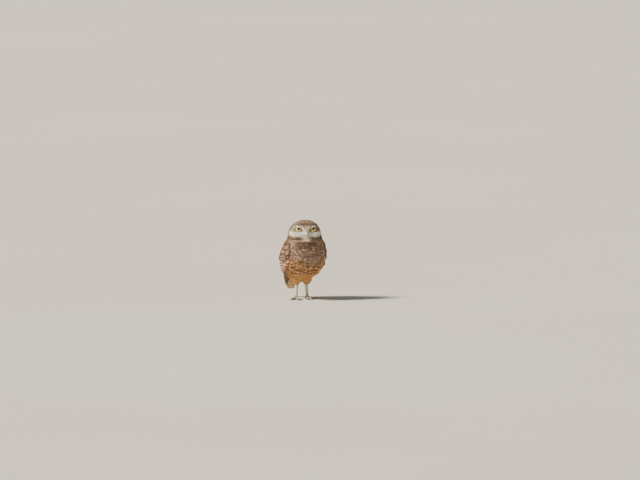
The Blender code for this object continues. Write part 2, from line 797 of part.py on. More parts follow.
def claw(name, toe, end, way, length):
    """A curved claw that meets its toe's end, arches a little and comes down to the floor."""
    start = end + way * GAP * 1.8
    points, radii = [], []
    for t in spread(0, 1, 5):
        height = start.z + 0.0002 + 0.0008 * math.sin(math.pi * t) ** 2 - 0.0013 * t**2
        points.append(Vector((start.x, start.y, height)) + way * length * t)
        radii.append(0.0013 * (1 - t) ** 0.7 + 0.0003)
    object_of(f"claw_{toe}_{name}", tube(points, radii), "claw_horn")


def stand_on_origin():
    """Hangs every node on one empty, moved so that the origin is the middle of the base."""
    low, high = Vector((math.inf,) * 3), Vector((-math.inf,) * 3)
    for obj in model.objects:
        for corner in obj.bound_box:
            low = Vector(map(min, low, corner))
            high = Vector(map(max, high, corner))
    middle = bpy.data.objects.new("owl", None)
    middle.location = (-(low.x + high.x) / 2, -(low.y + high.y) / 2, 0)
    for obj in list(model.objects):
        obj.parent = middle
    model.objects.link(middle)


def shade():
    for obj in model.objects:
        if obj.type == "MESH":
            obj.data.shade_smooth()
            obj.data.set_sharp_from_angle(angle=math.radians(40))


clear_scene()
model = bpy.data.collections.new("burrowing_owl")
bpy.context.scene.collection.children.link(model)
trunk = torso()
neck()
head()
eyes()
bill()
fan = tail(trunk)
wings(trunk, fan)
thighs(trunk)
legs_and_feet()
shade()
stand_on_origin()
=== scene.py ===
"""The looks of the burrowing owl: skin, plumage, eyes, bill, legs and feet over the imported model.

Metres, +Z up. The body faces -Y, the head is turned a little to the owl's right (-X),
and the floor is Z = 0. Tables and places in the head's own axes are in millimetres.
"""

import json
import math

import bmesh
import bpy
import numpy as np
from mathutils import Matrix, Vector
from mathutils.bvhtree import BVHTree

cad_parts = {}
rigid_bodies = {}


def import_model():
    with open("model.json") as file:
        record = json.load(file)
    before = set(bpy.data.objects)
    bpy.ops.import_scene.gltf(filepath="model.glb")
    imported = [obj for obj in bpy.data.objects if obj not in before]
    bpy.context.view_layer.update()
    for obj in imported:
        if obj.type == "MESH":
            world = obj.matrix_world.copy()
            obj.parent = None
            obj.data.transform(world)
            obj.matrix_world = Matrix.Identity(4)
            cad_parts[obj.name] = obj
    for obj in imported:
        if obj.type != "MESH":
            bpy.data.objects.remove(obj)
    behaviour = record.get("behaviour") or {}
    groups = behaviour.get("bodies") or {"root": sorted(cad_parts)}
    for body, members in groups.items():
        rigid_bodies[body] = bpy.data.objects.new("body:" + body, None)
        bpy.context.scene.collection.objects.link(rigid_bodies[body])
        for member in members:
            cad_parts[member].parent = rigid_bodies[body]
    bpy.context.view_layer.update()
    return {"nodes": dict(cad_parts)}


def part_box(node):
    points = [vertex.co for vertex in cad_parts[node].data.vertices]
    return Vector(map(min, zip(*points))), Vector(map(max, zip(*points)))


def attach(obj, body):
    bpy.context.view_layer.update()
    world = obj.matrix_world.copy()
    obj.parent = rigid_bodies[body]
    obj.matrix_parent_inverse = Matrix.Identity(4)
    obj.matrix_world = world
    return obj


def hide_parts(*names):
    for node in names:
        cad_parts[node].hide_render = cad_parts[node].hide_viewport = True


MM = 0.001
SEED = 11
SIDES = (("left", 1), ("right", -1))  # the owl's own sides, +X and -X

# The photograph's view: the body is turned away from the lens by this much, seen from a little above
VIEW_AZIMUTH = -24
VIEW_ELEVATION = 5.5
PICTURE_WIDTH = 640
PICTURE_HEIGHT = 480
MM_PER_PIXEL = 2.35
FOCAL_MM = 300
SENSOR_MM = 23.5
GROUND_PIXEL = (302.7, 299.5)  # where the middle of the trunk, taken down to the floor, is in the picture
FLOOR_REACH = 30

# Kinds of node, by what they do
MATH, VECTOR_MATH = "ShaderNodeMath", "ShaderNodeVectorMath"
JOIN, SPLIT, REMAP = "ShaderNodeCombineXYZ", "ShaderNodeSeparateXYZ", "ShaderNodeMapRange"
NOISE, RAMP, SHADE = "ShaderNodeTexNoise", "ShaderNodeValToRGB", "ShaderNodeHueSaturation"
ATTRIBUTE, COORDINATES, BUMP = "ShaderNodeAttribute", "ShaderNodeTexCoord", "ShaderNodeBump"
FIELD, STORE = "GeometryNodeInputNamedAttribute", "GeometryNodeStoreNamedAttribute"
CHANCE, ALIGN = "FunctionNodeRandomValue", "FunctionNodeAlignRotationToVector"


def linear(hex_colour):
    """An sRGB hex colour such as "7e553e" as linear red, green and blue."""
    values = [int(hex_colour[i : i + 2], 16) / 255 for i in (0, 2, 4)]
    return tuple(v / 12.92 if v <= 0.04045 else ((v + 0.055) / 1.055) ** 2.4 for v in values)


def new_object(name, data):
    made = bpy.data.objects.new(name, data)
    bpy.context.scene.collection.objects.link(made)
    return made


def direction(azimuth, elevation):
    """Unit vector outwards from the owl. Azimuth 0 is straight ahead of the body, both in degrees."""
    a, e = math.radians(azimuth), math.radians(elevation)
    return Vector((math.sin(a) * math.cos(e), -math.cos(a) * math.cos(e), math.sin(e)))


def add_camera():
    """The photograph's framing: the owl is small, a little left of the middle, seen by a long lens."""
    distance = MM_PER_PIXEL * MM * PICTURE_WIDTH * FOCAL_MM / SENSOR_MM
    back = direction(VIEW_AZIMUTH, VIEW_ELEVATION)
    right = direction(VIEW_AZIMUTH + 90, 0)
    up = back.cross(right)
    across = (PICTURE_WIDTH / 2 - GROUND_PIXEL[0]) * MM_PER_PIXEL * MM
    rise = (GROUND_PIXEL[1] - PICTURE_HEIGHT / 2) * MM_PER_PIXEL * MM
    target = trunk_middle() + right * across + up * rise
    data = bpy.data.cameras.new("camera")
    data.lens = FOCAL_MM
    data.sensor_width = SENSOR_MM
    data.clip_start = 0.1
    data.clip_end = 100
    camera = new_object("camera", data)
    camera.location = target + back * distance
    camera.rotation_euler = back.to_track_quat("Z", "Y").to_euler()
    bpy.context.scene.camera = camera


def add_light(kind, name, azimuth, elevation, softness, strength, colour):
    """A soft light aimed at the owl: a distant one with its width in degrees, or a round panel in metres."""
    data = bpy.data.lights.new(name, kind)
    if kind == "SUN":
        data.angle = math.radians(softness)
    else:
        data.shape = "DISK"
        data.size = softness
    data.energy = strength
    data.color = linear(colour)
    light = new_object(name, data)
    way = direction(azimuth, elevation)
    light.location = way * 2 + Vector((0, 0, 0.1))
    light.rotation_euler = way.to_track_quat("Z", "Y").to_euler()


def add_lights():
    """A soft key from the picture's left and above, as the photograph's sun, and a weak pale fill."""
    add_light("SUN", "key", -96, 42, 12, 8.2, "fff3e4")
    add_light("AREA", "fill", -30, 22, 0.6, 1.2, "eef2ff")
    world = bpy.data.worlds.new("studio")
    bpy.context.scene.world = world
    world.use_nodes = True
    backdrop = world.node_tree.nodes["Background"]
    backdrop.inputs["Color"].default_value = (*linear("e9ece6"), 1)
    backdrop.inputs["Strength"].default_value = 0.28


def add_node(tree, kind, inputs=None, **settings):
    """Adds one node. inputs maps sockets to a value, a socket, or a node that gives its first output."""
    node = tree.nodes.new(kind)
    for key, value in settings.items():
        setattr(node, key, value)
    for key, value in (inputs or {}).items():
        if isinstance(value, bpy.types.Node):
            value = value.outputs[0]
        if isinstance(value, bpy.types.NodeSocket):
            tree.links.new(value, node.inputs[key])
        else:
            node.inputs[key].default_value = value
    return node


def colour_stops(ramp, stops):
    """Sets the colours of a ramp: places from 0 to 1 and sRGB hex colours."""
    for i, (place, colour) in enumerate(stops):
        stop = ramp.elements[i] if i < 2 else ramp.elements.new(place)
        stop.position = place
        stop.color = (*linear(colour), 1)


def new_material(name, roughness):
    """A material with its Principled shader."""
    made = bpy.data.materials.new(name)
    made.use_nodes = True
    shader = made.node_tree.nodes["Principled BSDF"]
    shader.inputs["Roughness"].default_value = roughness
    return made, made.node_tree, shader


def add_floor():
    """A plain matt studio floor: pale, very faintly uneven, out past the picture on every side."""
    made, tree, shader = new_material("pale_studio_floor", 0.9)
    grain = add_node(tree, NOISE, {"Scale": 60.0, "Detail": 3.0})
    tone = add_node(tree, RAMP, {"Fac": grain})
    colour_stops(tone.color_ramp, ((0.0, "c9c7bd"), (1.0, "d2d0c7")))
    tree.links.new(tone.outputs[0], shader.inputs["Base Color"])
    mesh = bpy.data.meshes.new("floor")
    r = FLOOR_REACH
    mesh.from_pydata([(-r, -r, 0), (r, -r, 0), (r, r, 0), (-r, r, 0)], [], [(0, 1, 2, 3)])
    mesh.materials.append(made)
    new_object("floor", mesh)


# Plumage, in sRGB as the feather itself is, before any light, except the wing's pale lining, which also
# carries painted light that lifts the shade under the wing
CROWN_BROWN, CROWN_FLECK = linear("5c4538"), linear("ccb8a0")
FACE_BUFF, FACE_DARK = linear("c8b8a4"), linear("5f4a3a")
BROW_WHITE, CHEEK_WHITE, THROAT_WHITE = linear("efe6d8"), linear("efe7de"), linear("e9dfd0")
COLLAR_BROWN = linear("64493a")
BREAST_BROWN, BREAST_SPOT = linear("977a67"), linear("dfcbb6")
BELLY_BUFF, BELLY_BAR = linear("d2a577"), linear("5c2b18")
VENT_BUFF = linear("cb9658")
THIGH_BUFF = linear("cfa26b")
BACK_BROWN, BACK_SPOT = linear("6b4e37"), linear("d3ba98")
WING_BROWN, WING_SPOT = linear("5f3e2d"), linear("e0c6ae")
# The wing's lining: its own pale buff, made paler still as painted light for the shade under the wing
WING_LINING_WITH_PAINTED_LIGHT = linear("b89d80")
FLIGHT_BROWN, FLIGHT_BAND = linear("6a4b36"), linear("e0c8ab")
TAIL_BROWN, TAIL_BAND, TAIL_LINING = linear("6c4d38"), linear("d9bd97"), linear("d9bf98")
LEG_WHITE = linear("e3d8c4")

# Heights in mm that the plumage changes at: each pair is where it starts and where it is in full
BREAST_FROM, BELLY_FROM, BELLY_TO = (74, 84), (50, 60), (100, 97)
BARS_FROM, BAR_PITCH = (62, 80), 7.4
VENT_TO, THIGH_TO, HEAD_FROM = (69, 63), (52, 46), (143, 149)
COLLAR_HEIGHT = 139.0

FLESH = ("torso", "neck", "head", "thigh_left", "thigh_right")
FILLING = ("eye_left", "eye_right", "bill_upper")  # closes the sockets of the skin
SKIN_VOXEL, JOIN_GROWTH = 0.0012, 0.0004  # the growth closes the gap between nodes
LEG_VOXEL, LEG_GROWTH = 0.00042, 0.0003
BODY_COAT, HEAD_COAT, FACE_COAT = 1.7, 1.5, 0.8  # depth of the skin under the tips, in mm
TRUNK_BEHIND_EYES = 0.03488

# Face landmarks from the point between the eyes: to the owl's left, forwards and up
EYE_SIDE = 16.6
EYE_RADIUS = 0.0086
BROW_LINE, BROW_WIDTH = ((2.4, -3.2), (7.0, 1.8), (13.5, 5.6), (20.5, 6.4)), 1.7
CHEEK_LINE, CHEEK_WIDTH = ((6.0, -9.5), (13.0, -10.5), (22.0, -11.0), (34.0, -8.5)), 5.0


def middle_of(node):
    low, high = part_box(node)
    return (low + high) / 2


def trunk_middle():
    """The place on the floor that the trunk's sections are measured from. The model's own origin differs."""
    return Vector((0, middle_of("eye_left").y + TRUNK_BEHIND_EYES, 0))


def head_axes():
    """The point between the eyes, and the head's own directions: its left, its front and up."""
    left, right = middle_of("eye_left"), middle_of("eye_right")
    side = (left - right).normalized()
    up = Vector((0, 0, 1))
    return tuple(np.array(v) for v in ((left + right) / 2, side, side.cross(up), up))


def in_head(points):
    """Points in the head's own axes, in millimetres from the point between the eyes."""
    middle, side, front, up = head_axes()
    offset = (points - middle) / MM
    return offset @ side, offset @ front, offset @ up


def from_head(places):
    """Points of the row frame from the head's own millimetres: to its left, forwards and up."""
    middle, side, front, up = head_axes()
    places = np.array(places)
    return middle + (side * places[..., :1] + front * places[..., 1:2] + up * places[..., 2:]) * MM


def smooth_step(value, low, high):
    """0 below low, 1 above high, and a smooth rise between. low may be above high."""
    t = np.clip((value - low) / (high - low), 0, 1)
    return t * t * (3 - 2 * t)


def near_line(a, c, line, width):
    """1 on a broken line in the plane of the face, falling to 0 past its width. The face is mirrored."""
    a = np.abs(a)
    nearest = np.full(a.shape, np.inf)
    for (x0, z0), (x1, z1) in zip(line, line[1:]):
        dx, dz = x1 - x0, z1 - z0
        t = np.clip(((a - x0) * dx + (c - z0) * dz) / (dx * dx + dz * dz), 0, 1)
        nearest = np.minimum(nearest, np.hypot(a - x0 - t * dx, c - z0 - t * dz))
    return smooth_step(nearest, width * 1.15, width * 0.7)


def mixed(base, colour, share):
    """Each row of base moved towards a colour by its share."""
    return base + (np.array(colour) - base) * share[:, None]


def unit(vectors):
    length = np.linalg.norm(vectors, axis=1, keepdims=True)
    return vectors / np.maximum(length, 1e-9)


def along_surface(vectors, normals):
    """Unit vectors laid into the surface."""
    return unit(vectors - normals * np.sum(vectors * normals, axis=1, keepdims=True))


def eye_distance(points):
    """How far points are from the middle of an eye's opening: 1 on its rim."""
    a, b, c = in_head(points)
    across = (np.abs(a) - EYE_SIDE - 0.6) / 7.2
    return np.where(b > -9, np.hypot(across, c / np.where(c > 0, 5.0, 6.4)), 9.0)


class Markings:
    """Ground colour, marking colour and pattern (drops, bars, streaks) of the plumage at each point."""

    def __init__(self, count):
        self.ground = np.tile(np.array(BACK_BROWN), (count, 1))
        self.mark = np.tile(np.array(BACK_SPOT), (count, 1))
        self.pattern = np.tile(np.array((1.0, 0.0, 0.0)), (count, 1))

    def paint(self, share, ground, mark, *pattern):
        self.ground = mixed(self.ground, ground, share)
        self.mark = mixed(self.mark, mark, share)
        self.pattern = mixed(self.pattern, pattern, share)


def speckle_of(points):
    """A number from -0.5 to 0.5 for each point, unlike its neighbours', to break up the edges of patches."""
    return np.modf(np.abs(np.sin(points @ (12989.8, 78233.0, 37719.0)) * 43758.5))[0] - 0.5


def paint_trunk(marks, points, front, speckle):
    """Brown breast with pale drops, buff belly with dark bars in waves, plain deep buff below."""
    x, y, z = (points / MM).T
    marks.paint(front * smooth_step(z, *BREAST_FROM), BREAST_BROWN, BREAST_SPOT, 0.9, 0.0, 0.0)
    edge = z + 18 * speckle - 0.006 * x * x
    belly = front * smooth_step(edge, *BELLY_TO) * smooth_step(z, *BELLY_FROM)
    marks.paint(belly, BELLY_BUFF, BELLY_BAR, 0.0, 0.0, 0.0)
    bend = 1.1 * np.sin(0.19 * x + 0.5) + 0.7 * np.sin(0.31 * x - 0.17 * y)
    wave = np.sin(2 * math.pi * z / BAR_PITCH + bend)
    marks.pattern[:, 1] += belly * smooth_step(wave, -0.45, 0.4) * smooth_step(z, *BARS_FROM)
    vent = smooth_step(z + 6 * speckle, *VENT_TO) * smooth_step(y, 46, 30)
    marks.paint(vent, VENT_BUFF, BELLY_BAR, 0.0, 0.2, 0.0)


def paint_head(marks, points, front, speckle, on_head, face):
    """Streaked crown, buff face with dark round the eyes, and pale brows, cheeks and throat."""
    a, b, c = in_head(points)
    marks.paint(on_head, CROWN_BROWN, CROWN_FLECK, 0.25, 0.0, 0.62)
    disc = face * smooth_step(c, 9, 5) * smooth_step(c + 6 * speckle, -18, -14)
    disc = disc * smooth_step(np.abs(a), 35, 30)
    marks.paint(disc, FACE_BUFF, FACE_DARK, 0.0, 0.3, 0.2)
    behind = disc * smooth_step(np.abs(np.abs(a) - 30), 5, 2) * smooth_step(np.abs(c + 1), 9, 4)
    marks.paint(behind * 0.5, FACE_DARK, FACE_BUFF, 0.0, 0.2, 0.2)
    lores = disc * smooth_step(np.abs(a), 10, 6) * smooth_step(np.abs(c + 4), 10, 6)
    marks.paint(lores * 0.25, CHEEK_WHITE, FACE_DARK, 0.0, 0.0, 0.3)
    at_eye = disc * smooth_step(eye_distance(points), 1.55, 1.2)
    marks.paint(at_eye * 0.75, FACE_DARK, FACE_BUFF, 0.0, 0.0, 0.0)
    marks.paint(face * near_line(a, c, BROW_LINE, BROW_WIDTH), BROW_WHITE, FACE_BUFF, 0.0, 0.0, 0.1)
    cheek = smooth_step(b, -16, -6) * near_line(a, c + 2.4 * speckle, CHEEK_LINE, CHEEK_WIDTH)
    marks.paint(cheek, CHEEK_WHITE, FACE_BUFF, 0.0, 0.1, 0.0)
    throat = front * smooth_step(np.abs(c + 19.5), 6.5, 4.5) * smooth_step(np.abs(a) + 12 * speckle, 11, 6)
    marks.paint(throat, THROAT_WHITE, FACE_BUFF, 0.0, 0.1, 0.0)
    collar = smooth_step(np.abs(points[:, 2] / MM - COLLAR_HEIGHT), 4.5, 2.5) * smooth_step(np.abs(a), 30, 18)
    marks.paint(front * collar, COLLAR_BROWN, BREAST_SPOT, 0.5, 0.0, 0.0)


def markings(points, normals):
    """The markings that the skin and the coats over it share."""
    a, b, c = in_head(points)
    y, z = (points / MM).T[1:]
    marks = Markings(len(points))
    front = smooth_step(-normals[:, 1], -0.25, 0.35)
    speckle = speckle_of(points)
    on_head = smooth_step(z, *HEAD_FROM)
    face = smooth_step(b, -8, 2) * on_head
    paint_trunk(marks, points, front, speckle)
    paint_head(marks, points, front, speckle, on_head, face)
    thigh = smooth_step(z, *THIGH_TO) * smooth_step(y, 22, 14)
    marks.paint(thigh, THIGH_BUFF, BELLY_BAR, 0.0, 0.1, 0.0)
    blotch = np.sin(0.95 * a + 0.8 * np.sin(0.45 * b + 0.2 * c))
    blotch = blotch * np.sin(0.62 * b + 0.74 * c + np.sin(0.4 * a))
    darker = (0.14 + 0.30 * on_head * (1 - face)) * smooth_step(blotch, -0.1, 0.6)
    marks.ground = marks.ground * (1 - darker)[:, None]
    return marks


def lie_of_feathers(points, normals):
    """Where feathers point: away from the bill and the eyes, then down and back to the tail."""
    middle, side, front, up = head_axes()
    a, b, c = in_head(points)
    z = points[:, 2] / MM
    down = np.tile((0, 0.22, -1.0), (len(points), 1))
    down[:, 1] += 0.45 * smooth_step(normals[:, 1], -0.2, 0.7) + 0.8 * smooth_step(z, 75, 50)
    from_bill = unit(points - (middle + front * 0.009 + up * -0.003))
    behind = smooth_step(b, -4, -34)[:, None]
    low = smooth_step(c, -6, -20)[:, None]
    over_head = from_bill * (1 - behind) + np.array((0, 0.1, -1)) * (behind + 0.001)
    over_head = over_head * (1 - low) + np.array((0, 0, -1.0)) * low
    from_eye = unit(points - (middle + np.sign(a)[:, None] * side * EYE_SIDE * MM))
    at_eye = smooth_step(np.hypot(np.abs(a) - EYE_SIDE, c), 20, 10) * smooth_step(b, -2, 4) * 0.8
    over_head = mixed(unit(over_head), from_eye, at_eye)
    return along_surface(mixed(down, unit(over_head), smooth_step(z, 138, 150)), normals)


def read_points(mesh):
    """Vertex places and normals of a mesh as arrays."""
    count = len(mesh.vertices)
    places, normals = np.zeros(count * 3), np.zeros(count * 3)
    mesh.vertices.foreach_get("co", places)
    mesh.vertices.foreach_get("normal", normals)
    return places.reshape(-1, 3), normals.reshape(-1, 3)


def write_points(mesh, places):
    mesh.vertices.foreach_set("co", places.astype(np.float32).ravel())
    mesh.update()
    mesh.shade_smooth()


def plain_mesh(obj):
    """The object's mesh with its modifiers applied. The object is removed."""
    graph = bpy.context.evaluated_depsgraph_get()
    mesh = bpy.data.meshes.new_from_object(obj.evaluated_get(graph))
    bpy.data.objects.remove(obj)
    return mesh


def mesh_from(bm, name="shape"):
    """A new mesh of what was modelled. The working copy is freed."""
    mesh = bpy.data.meshes.new(name)
    bm.to_mesh(mesh)
    bm.free()
    return mesh


def merged(meshes):
    """Several meshes as one."""
    whole = bmesh.new()
    for mesh in meshes:
        whole.from_mesh(mesh)
        bpy.data.meshes.remove(mesh)
    return mesh_from(whole)


def grown_copy(node, growth):
    """A copy of a CAD node with its points merged, grown along its normals."""
    part = bmesh.new()
    part.from_mesh(frame["nodes"][node].data)
    bmesh.ops.remove_doubles(part, verts=part.verts, dist=1e-6)
    part.normal_update()
    for vert in part.verts:
        vert.co += vert.normal * growth
    return mesh_from(part)


def closed_skin(nodes, growth, voxel, softening):
    """One smooth closed surface round several CAD nodes."""
    obj = new_object("skin", merged([grown_copy(node, growth) for node in nodes]))
    remesh = obj.modifiers.new("close", "REMESH")
    remesh.mode = "VOXEL"
    remesh.voxel_size = voxel
    soften = obj.modifiers.new("soften", "SMOOTH")
    soften.factor = 0.5
    soften.iterations = softening
    return plain_mesh(obj)


def coat_depth(points):
    """How far the skin lies under the tips of the plumage."""
    _, b, c = in_head(points)
    z = points[:, 2] / MM
    depth = np.full(len(points), BODY_COAT)
    depth += (HEAD_COAT - depth) * smooth_step(z, 140, 152)
    face = smooth_step(b, -6, 4) * smooth_step(c, 14, 8) * smooth_step(c, -24, -18)
    depth += (FACE_COAT - depth) * face
    depth += (BODY_COAT - depth) * smooth_step(eye_distance(points), 1.5, 1.2)
    depth += (HEAD_COAT - depth) * smooth_step(z, 56, 46)
    return depth * MM


def flesh_skin():
    """The skin under the plumage of the head, neck, trunk and thighs, in one closed surface."""
    mesh = closed_skin(FLESH + FILLING, JOIN_GROWTH, SKIN_VOXEL, 8)
    points, normals = read_points(mesh)
    write_points(mesh, points - normals * (coat_depth(points) + JOIN_GROWTH)[:, None])
    return mesh


def write_field(mesh, name, values):
    """Stores one number, vector or colour for each vertex."""
    width = 1 if values.ndim == 1 else values.shape[1]
    kind, key = {
        1: ("FLOAT", "value"),
        2: ("FLOAT2", "vector"),
        3: ("FLOAT_VECTOR", "vector"),
        4: ("FLOAT_COLOR", "color"),
    }[width]
    field = mesh.attributes.new(name, kind, "POINT")
    field.data.foreach_set(key, values.astype(np.float32).ravel())


def write_colour(mesh, name, colours):
    write_field(mesh, name, np.hstack((colours, np.ones((len(colours), 1)))))


def write_plumage(mesh, points, normals):
    """Stores the markings and the lie of the feathers on a mesh."""
    marks = markings(points, normals)
    write_colour(mesh, "ground", marks.ground)
    write_colour(mesh, "mark", marks.mark)
    write_field(mesh, "pattern", marks.pattern)
    write_field(mesh, "flow", lie_of_feathers(points, normals))


def write_given_plumage(mesh, ground, mark, pattern, flow, size=1.0):
    """Stores markings and a lie of feathers that are given, each once or for every vertex."""
    count = len(mesh.vertices)
    write_colour(mesh, "ground", np.broadcast_to(ground, (count, 3)))
    write_colour(mesh, "mark", np.broadcast_to(mark, (count, 3)))
    write_field(mesh, "pattern", np.broadcast_to(pattern, (count, 3)))
    write_field(mesh, "flow", np.broadcast_to(flow, (count, 3)))
    write_field(mesh, "size", np.broadcast_to(size, (count,)))


def unwrap(mesh):
    """Lays the surface flat in pieces, in a UV map of its own."""
    mesh.uv_layers.new(name="OFBake")
    obj = new_object("unwrap", mesh)
    bpy.context.view_layer.objects.active = obj
    bpy.ops.object.mode_set(mode="EDIT")
    bpy.ops.mesh.select_all(action="SELECT")
    bpy.ops.uv.smart_project(angle_limit=math.radians(66), island_margin=0.004)
    bpy.ops.object.mode_set(mode="OBJECT")
    bpy.data.objects.remove(obj)


COAT_INPUTS = (
    ("Geometry", "Geometry"),
    ("Feathers", "Collection"),
    ("Material", "Material"),
    ("Mask", "String"),
    ("Spacing", "Float"),
    ("Length", "Float"),
    ("Width", "Float"),
    ("Tilt", "Float"),
    ("Disorder", "Float"),
    ("Seed", "Int"),
)
KINDS = 4  # feathers of one sort that a coat picks from
PATCH = 0.003  # width of one feather in the map that is baked
BARB_FAN = 1.3  # how far barbs turn away from the shaft at the edges of their feather


def growth_places(tree, given, on_faces, fringe):
    """Where feathers grow, and the way out of the surface there."""
    if not on_faces:
        places = add_node(tree, "GeometryNodeMeshToPoints", {"Mesh": given["Geometry"]})
        return places, add_node(tree, FIELD, {"Name": "outward"}, data_type="FLOAT_VECTOR")
    area = add_node(tree, MATH, {0: given["Spacing"], 1: given["Spacing"]}, operation="MULTIPLY")
    most = add_node(tree, MATH, {0: 3.0, 1: area}, operation="DIVIDE")
    cover = add_node(tree, FIELD, {"Name": given["Mask"]}, data_type="FLOAT")
    scatter = {"Mesh": given["Geometry"], "Seed": given["Seed"]}
    if fringe:
        scatter["Density"] = add_node(tree, MATH, {0: most, 1: cover}, operation="MULTIPLY")
    else:
        scatter.update({"Distance Min": given["Spacing"], "Density Max": most, "Density Factor": cover})
    method = "RANDOM" if fringe else "POISSON"
    places = add_node(tree, "GeometryNodeDistributePointsOnFaces", scatter, distribute_method=method)
    return places.outputs["Points"], places.outputs["Normal"]


def fanned(tree, heading, outward):
    """The heading of barbs, which lean away from the shaft of the feather that they grow on."""
    vane = add_node(tree, FIELD, {"Name": "vane"}, data_type="FLOAT_VECTOR")
    across = add_node(tree, VECTOR_MATH, {0: heading, 1: outward}, operation="CROSS_PRODUCT")
    place = add_node(tree, SPLIT, {0: vane})
    slant = add_node(tree, MATH, {0: place, 1: BARB_FAN, 2: -BARB_FAN / 2}, operation="MULTIPLY_ADD")
    aside = add_node(tree, VECTOR_MATH, {0: across, "Scale": slant}, operation="SCALE")
    return add_node(tree, VECTOR_MATH, {0: heading, 1: aside}, operation="ADD")


def feather_turn(tree, given, outward, heading):
    """Laid along the heading, raised by the tilt and swayed a little at random."""
    upright = add_node(tree, ALIGN, {"Vector": outward}, axis="Z")
    laid = add_node(tree, ALIGN, {"Rotation": upright, "Vector": heading}, axis="Y", pivot_axis="Z")
    reach = {0: (-1, -1, -1), 1: (1, 1, 1), "Seed": given["Seed"]}
    chance = add_node(tree, CHANCE, reach, data_type="FLOAT_VECTOR")
    sway = add_node(tree, VECTOR_MATH, {0: chance, "Scale": given["Disorder"]}, operation="SCALE")
    rise = add_node(tree, JOIN, {"X": given["Tilt"]})
    bend = add_node(tree, VECTOR_MATH, {0: sway, 1: rise}, operation="ADD")
    turn = add_node(tree, "FunctionNodeEulerToRotation", {"Euler": bend})
    both = {"Rotation": laid, "Rotate By": turn}
    return add_node(tree, "FunctionNodeRotateRotation", both, rotation_space="LOCAL")


def feather_scale(tree, given):
    """Width and length, by the size wanted at the place and a little at random."""
    size = add_node(tree, FIELD, {"Name": "size"}, data_type="FLOAT")
    vary = add_node(tree, CHANCE, {2: 0.86, 3: 1.12, "Seed": 5}, data_type="FLOAT")
    scale = add_node(tree, MATH, {0: size, 1: vary.outputs[1]}, operation="MULTIPLY")
    extent = add_node(tree, JOIN, {"X": given["Width"], "Y": given["Length"], "Z": given["Length"]})
    return add_node(tree, VECTOR_MATH, {0: extent, "Scale": scale}, operation="SCALE")


def mapped_patches(tree, geometry, fringe):
    """Gives each feather a small patch of the baked map, at the place that it grows from."""
    across = add_node(tree, FIELD, {"Name": "barb" if fringe else "vane"}, data_type="FLOAT_VECTOR")
    root = add_node(tree, FIELD, {"Name": "root"}, data_type="FLOAT_VECTOR")
    middle = add_node(tree, VECTOR_MATH, {0: across, 1: (0.5, 0.5, 0)}, operation="SUBTRACT")
    width = PATCH / 8 if fringe else PATCH
    patch = add_node(tree, VECTOR_MATH, {0: middle, "Scale": width}, operation="SCALE")
    place = add_node(tree, VECTOR_MATH, {0: root, 1: patch}, operation="ADD")
    stored = {"Geometry": geometry, "Name": "OFBake", "Value": place}
    return add_node(tree, STORE, stored, data_type="FLOAT2", domain="CORNER")


def coat_tree(on_faces, fringe):
    """Sets feathers along the flow of a surface, at random places on its faces or at each of its points.
    A fringe is single barbs that grow on feathers: each keeps the marking of the place it grows from."""
    tree = bpy.data.node_groups.new("plumage", "GeometryNodeTree")
    tree.interface.new_socket("Geometry", in_out="OUTPUT", socket_type="NodeSocketGeometry")
    for name, kind in COAT_INPUTS:
        tree.interface.new_socket(name, in_out="INPUT", socket_type=f"NodeSocket{kind}")
    given = add_node(tree, "NodeGroupInput").outputs
    points, outward = growth_places(tree, given, on_faces, fringe)
    spot = add_node(tree, FIELD, {"Name": "OFBake"}, data_type="FLOAT_VECTOR")
    stored = {"Geometry": points, "Name": "root", "Value": spot}
    rooted = add_node(tree, STORE, stored, data_type="FLOAT_VECTOR", domain="POINT")
    heading = add_node(tree, FIELD, {"Name": "flow"}, data_type="FLOAT_VECTOR")
    if fringe:
        heading = fanned(tree, heading, outward)
    chosen = {"Collection": given["Feathers"], "Separate Children": True, "Reset Children": True}
    placing = {
        "Points": rooted,
        "Instance": add_node(tree, "GeometryNodeCollectionInfo", chosen),
        "Pick Instance": True,
        "Instance Index": add_node(tree, CHANCE, {4: 0, 5: KINDS - 1, "Seed": 9}, data_type="INT").outputs[2],
        "Rotation": feather_turn(tree, given, outward, heading),
        "Scale": feather_scale(tree, given),
    }
    grown = add_node(tree, "GeometryNodeInstanceOnPoints", placing)
    if not fringe:
        shade = add_node(tree, CHANCE, {2: 0.0, 3: 1.0, "Seed": 21}, data_type="FLOAT")
        stored = {"Geometry": grown, "Name": "tint", "Value": shade.outputs[1]}
        grown = add_node(tree, STORE, stored, data_type="FLOAT", domain="INSTANCE")
    solid = add_node(tree, "GeometryNodeRealizeInstances", {"Geometry": grown})
    painting = {"Geometry": mapped_patches(tree, solid, fringe), "Material": given["Material"]}
    add_node(tree, "NodeGroupOutput", {"Geometry": add_node(tree, "GeometryNodeSetMaterial", painting)})
    return tree


def map_from_above(face, uvs):
    """A feather's own map: across from 0 to 1 and along from root to tip."""
    for loop in face.loops:
        loop[uvs].uv = (loop.vert.co.x + 0.5, loop.vert.co.y)


def blade(bm, uvs, outline, start=0.0, lean=0.0, sides=3):
    """A thin closed blade along +Y. outline gives (place, half width, height), lean bends it aside."""
    upper = bm.faces.layers.float.get("upper")
    rings = []
    for t, half, height in outline:
        thick = 0.004 + 0.04 * half
        x = start + lean * t**1.4
        edge = height - 0.05 * half
        ring = [(x - half, t, edge), (x, t, height + thick), (x + half, t, edge)]
        if sides == 4:
            ring.append((x, t, height - thick))
        rings.append([bm.verts.new(p) for p in ring])
    faces = [bm.faces.new(rings[0])]
    for step, (low, high) in enumerate(zip(rings, rings[1:])):
        for k in range(sides):
            j = (k + 1) % sides
            faces.append(bm.faces.new((low[j], low[k], high[k], high[j])))
            if k < 2:
                faces[-1][upper] = smooth_step(outline[step][0], 0.3, 0.6)
        for rim in (0, 2):
            bm.edges.get((low[rim], high[rim])).smooth = False
    faces.append(bm.faces.new(rings[-1][::-1]))
    for face in faces:
        face.smooth = True
        map_from_above(face, uvs)


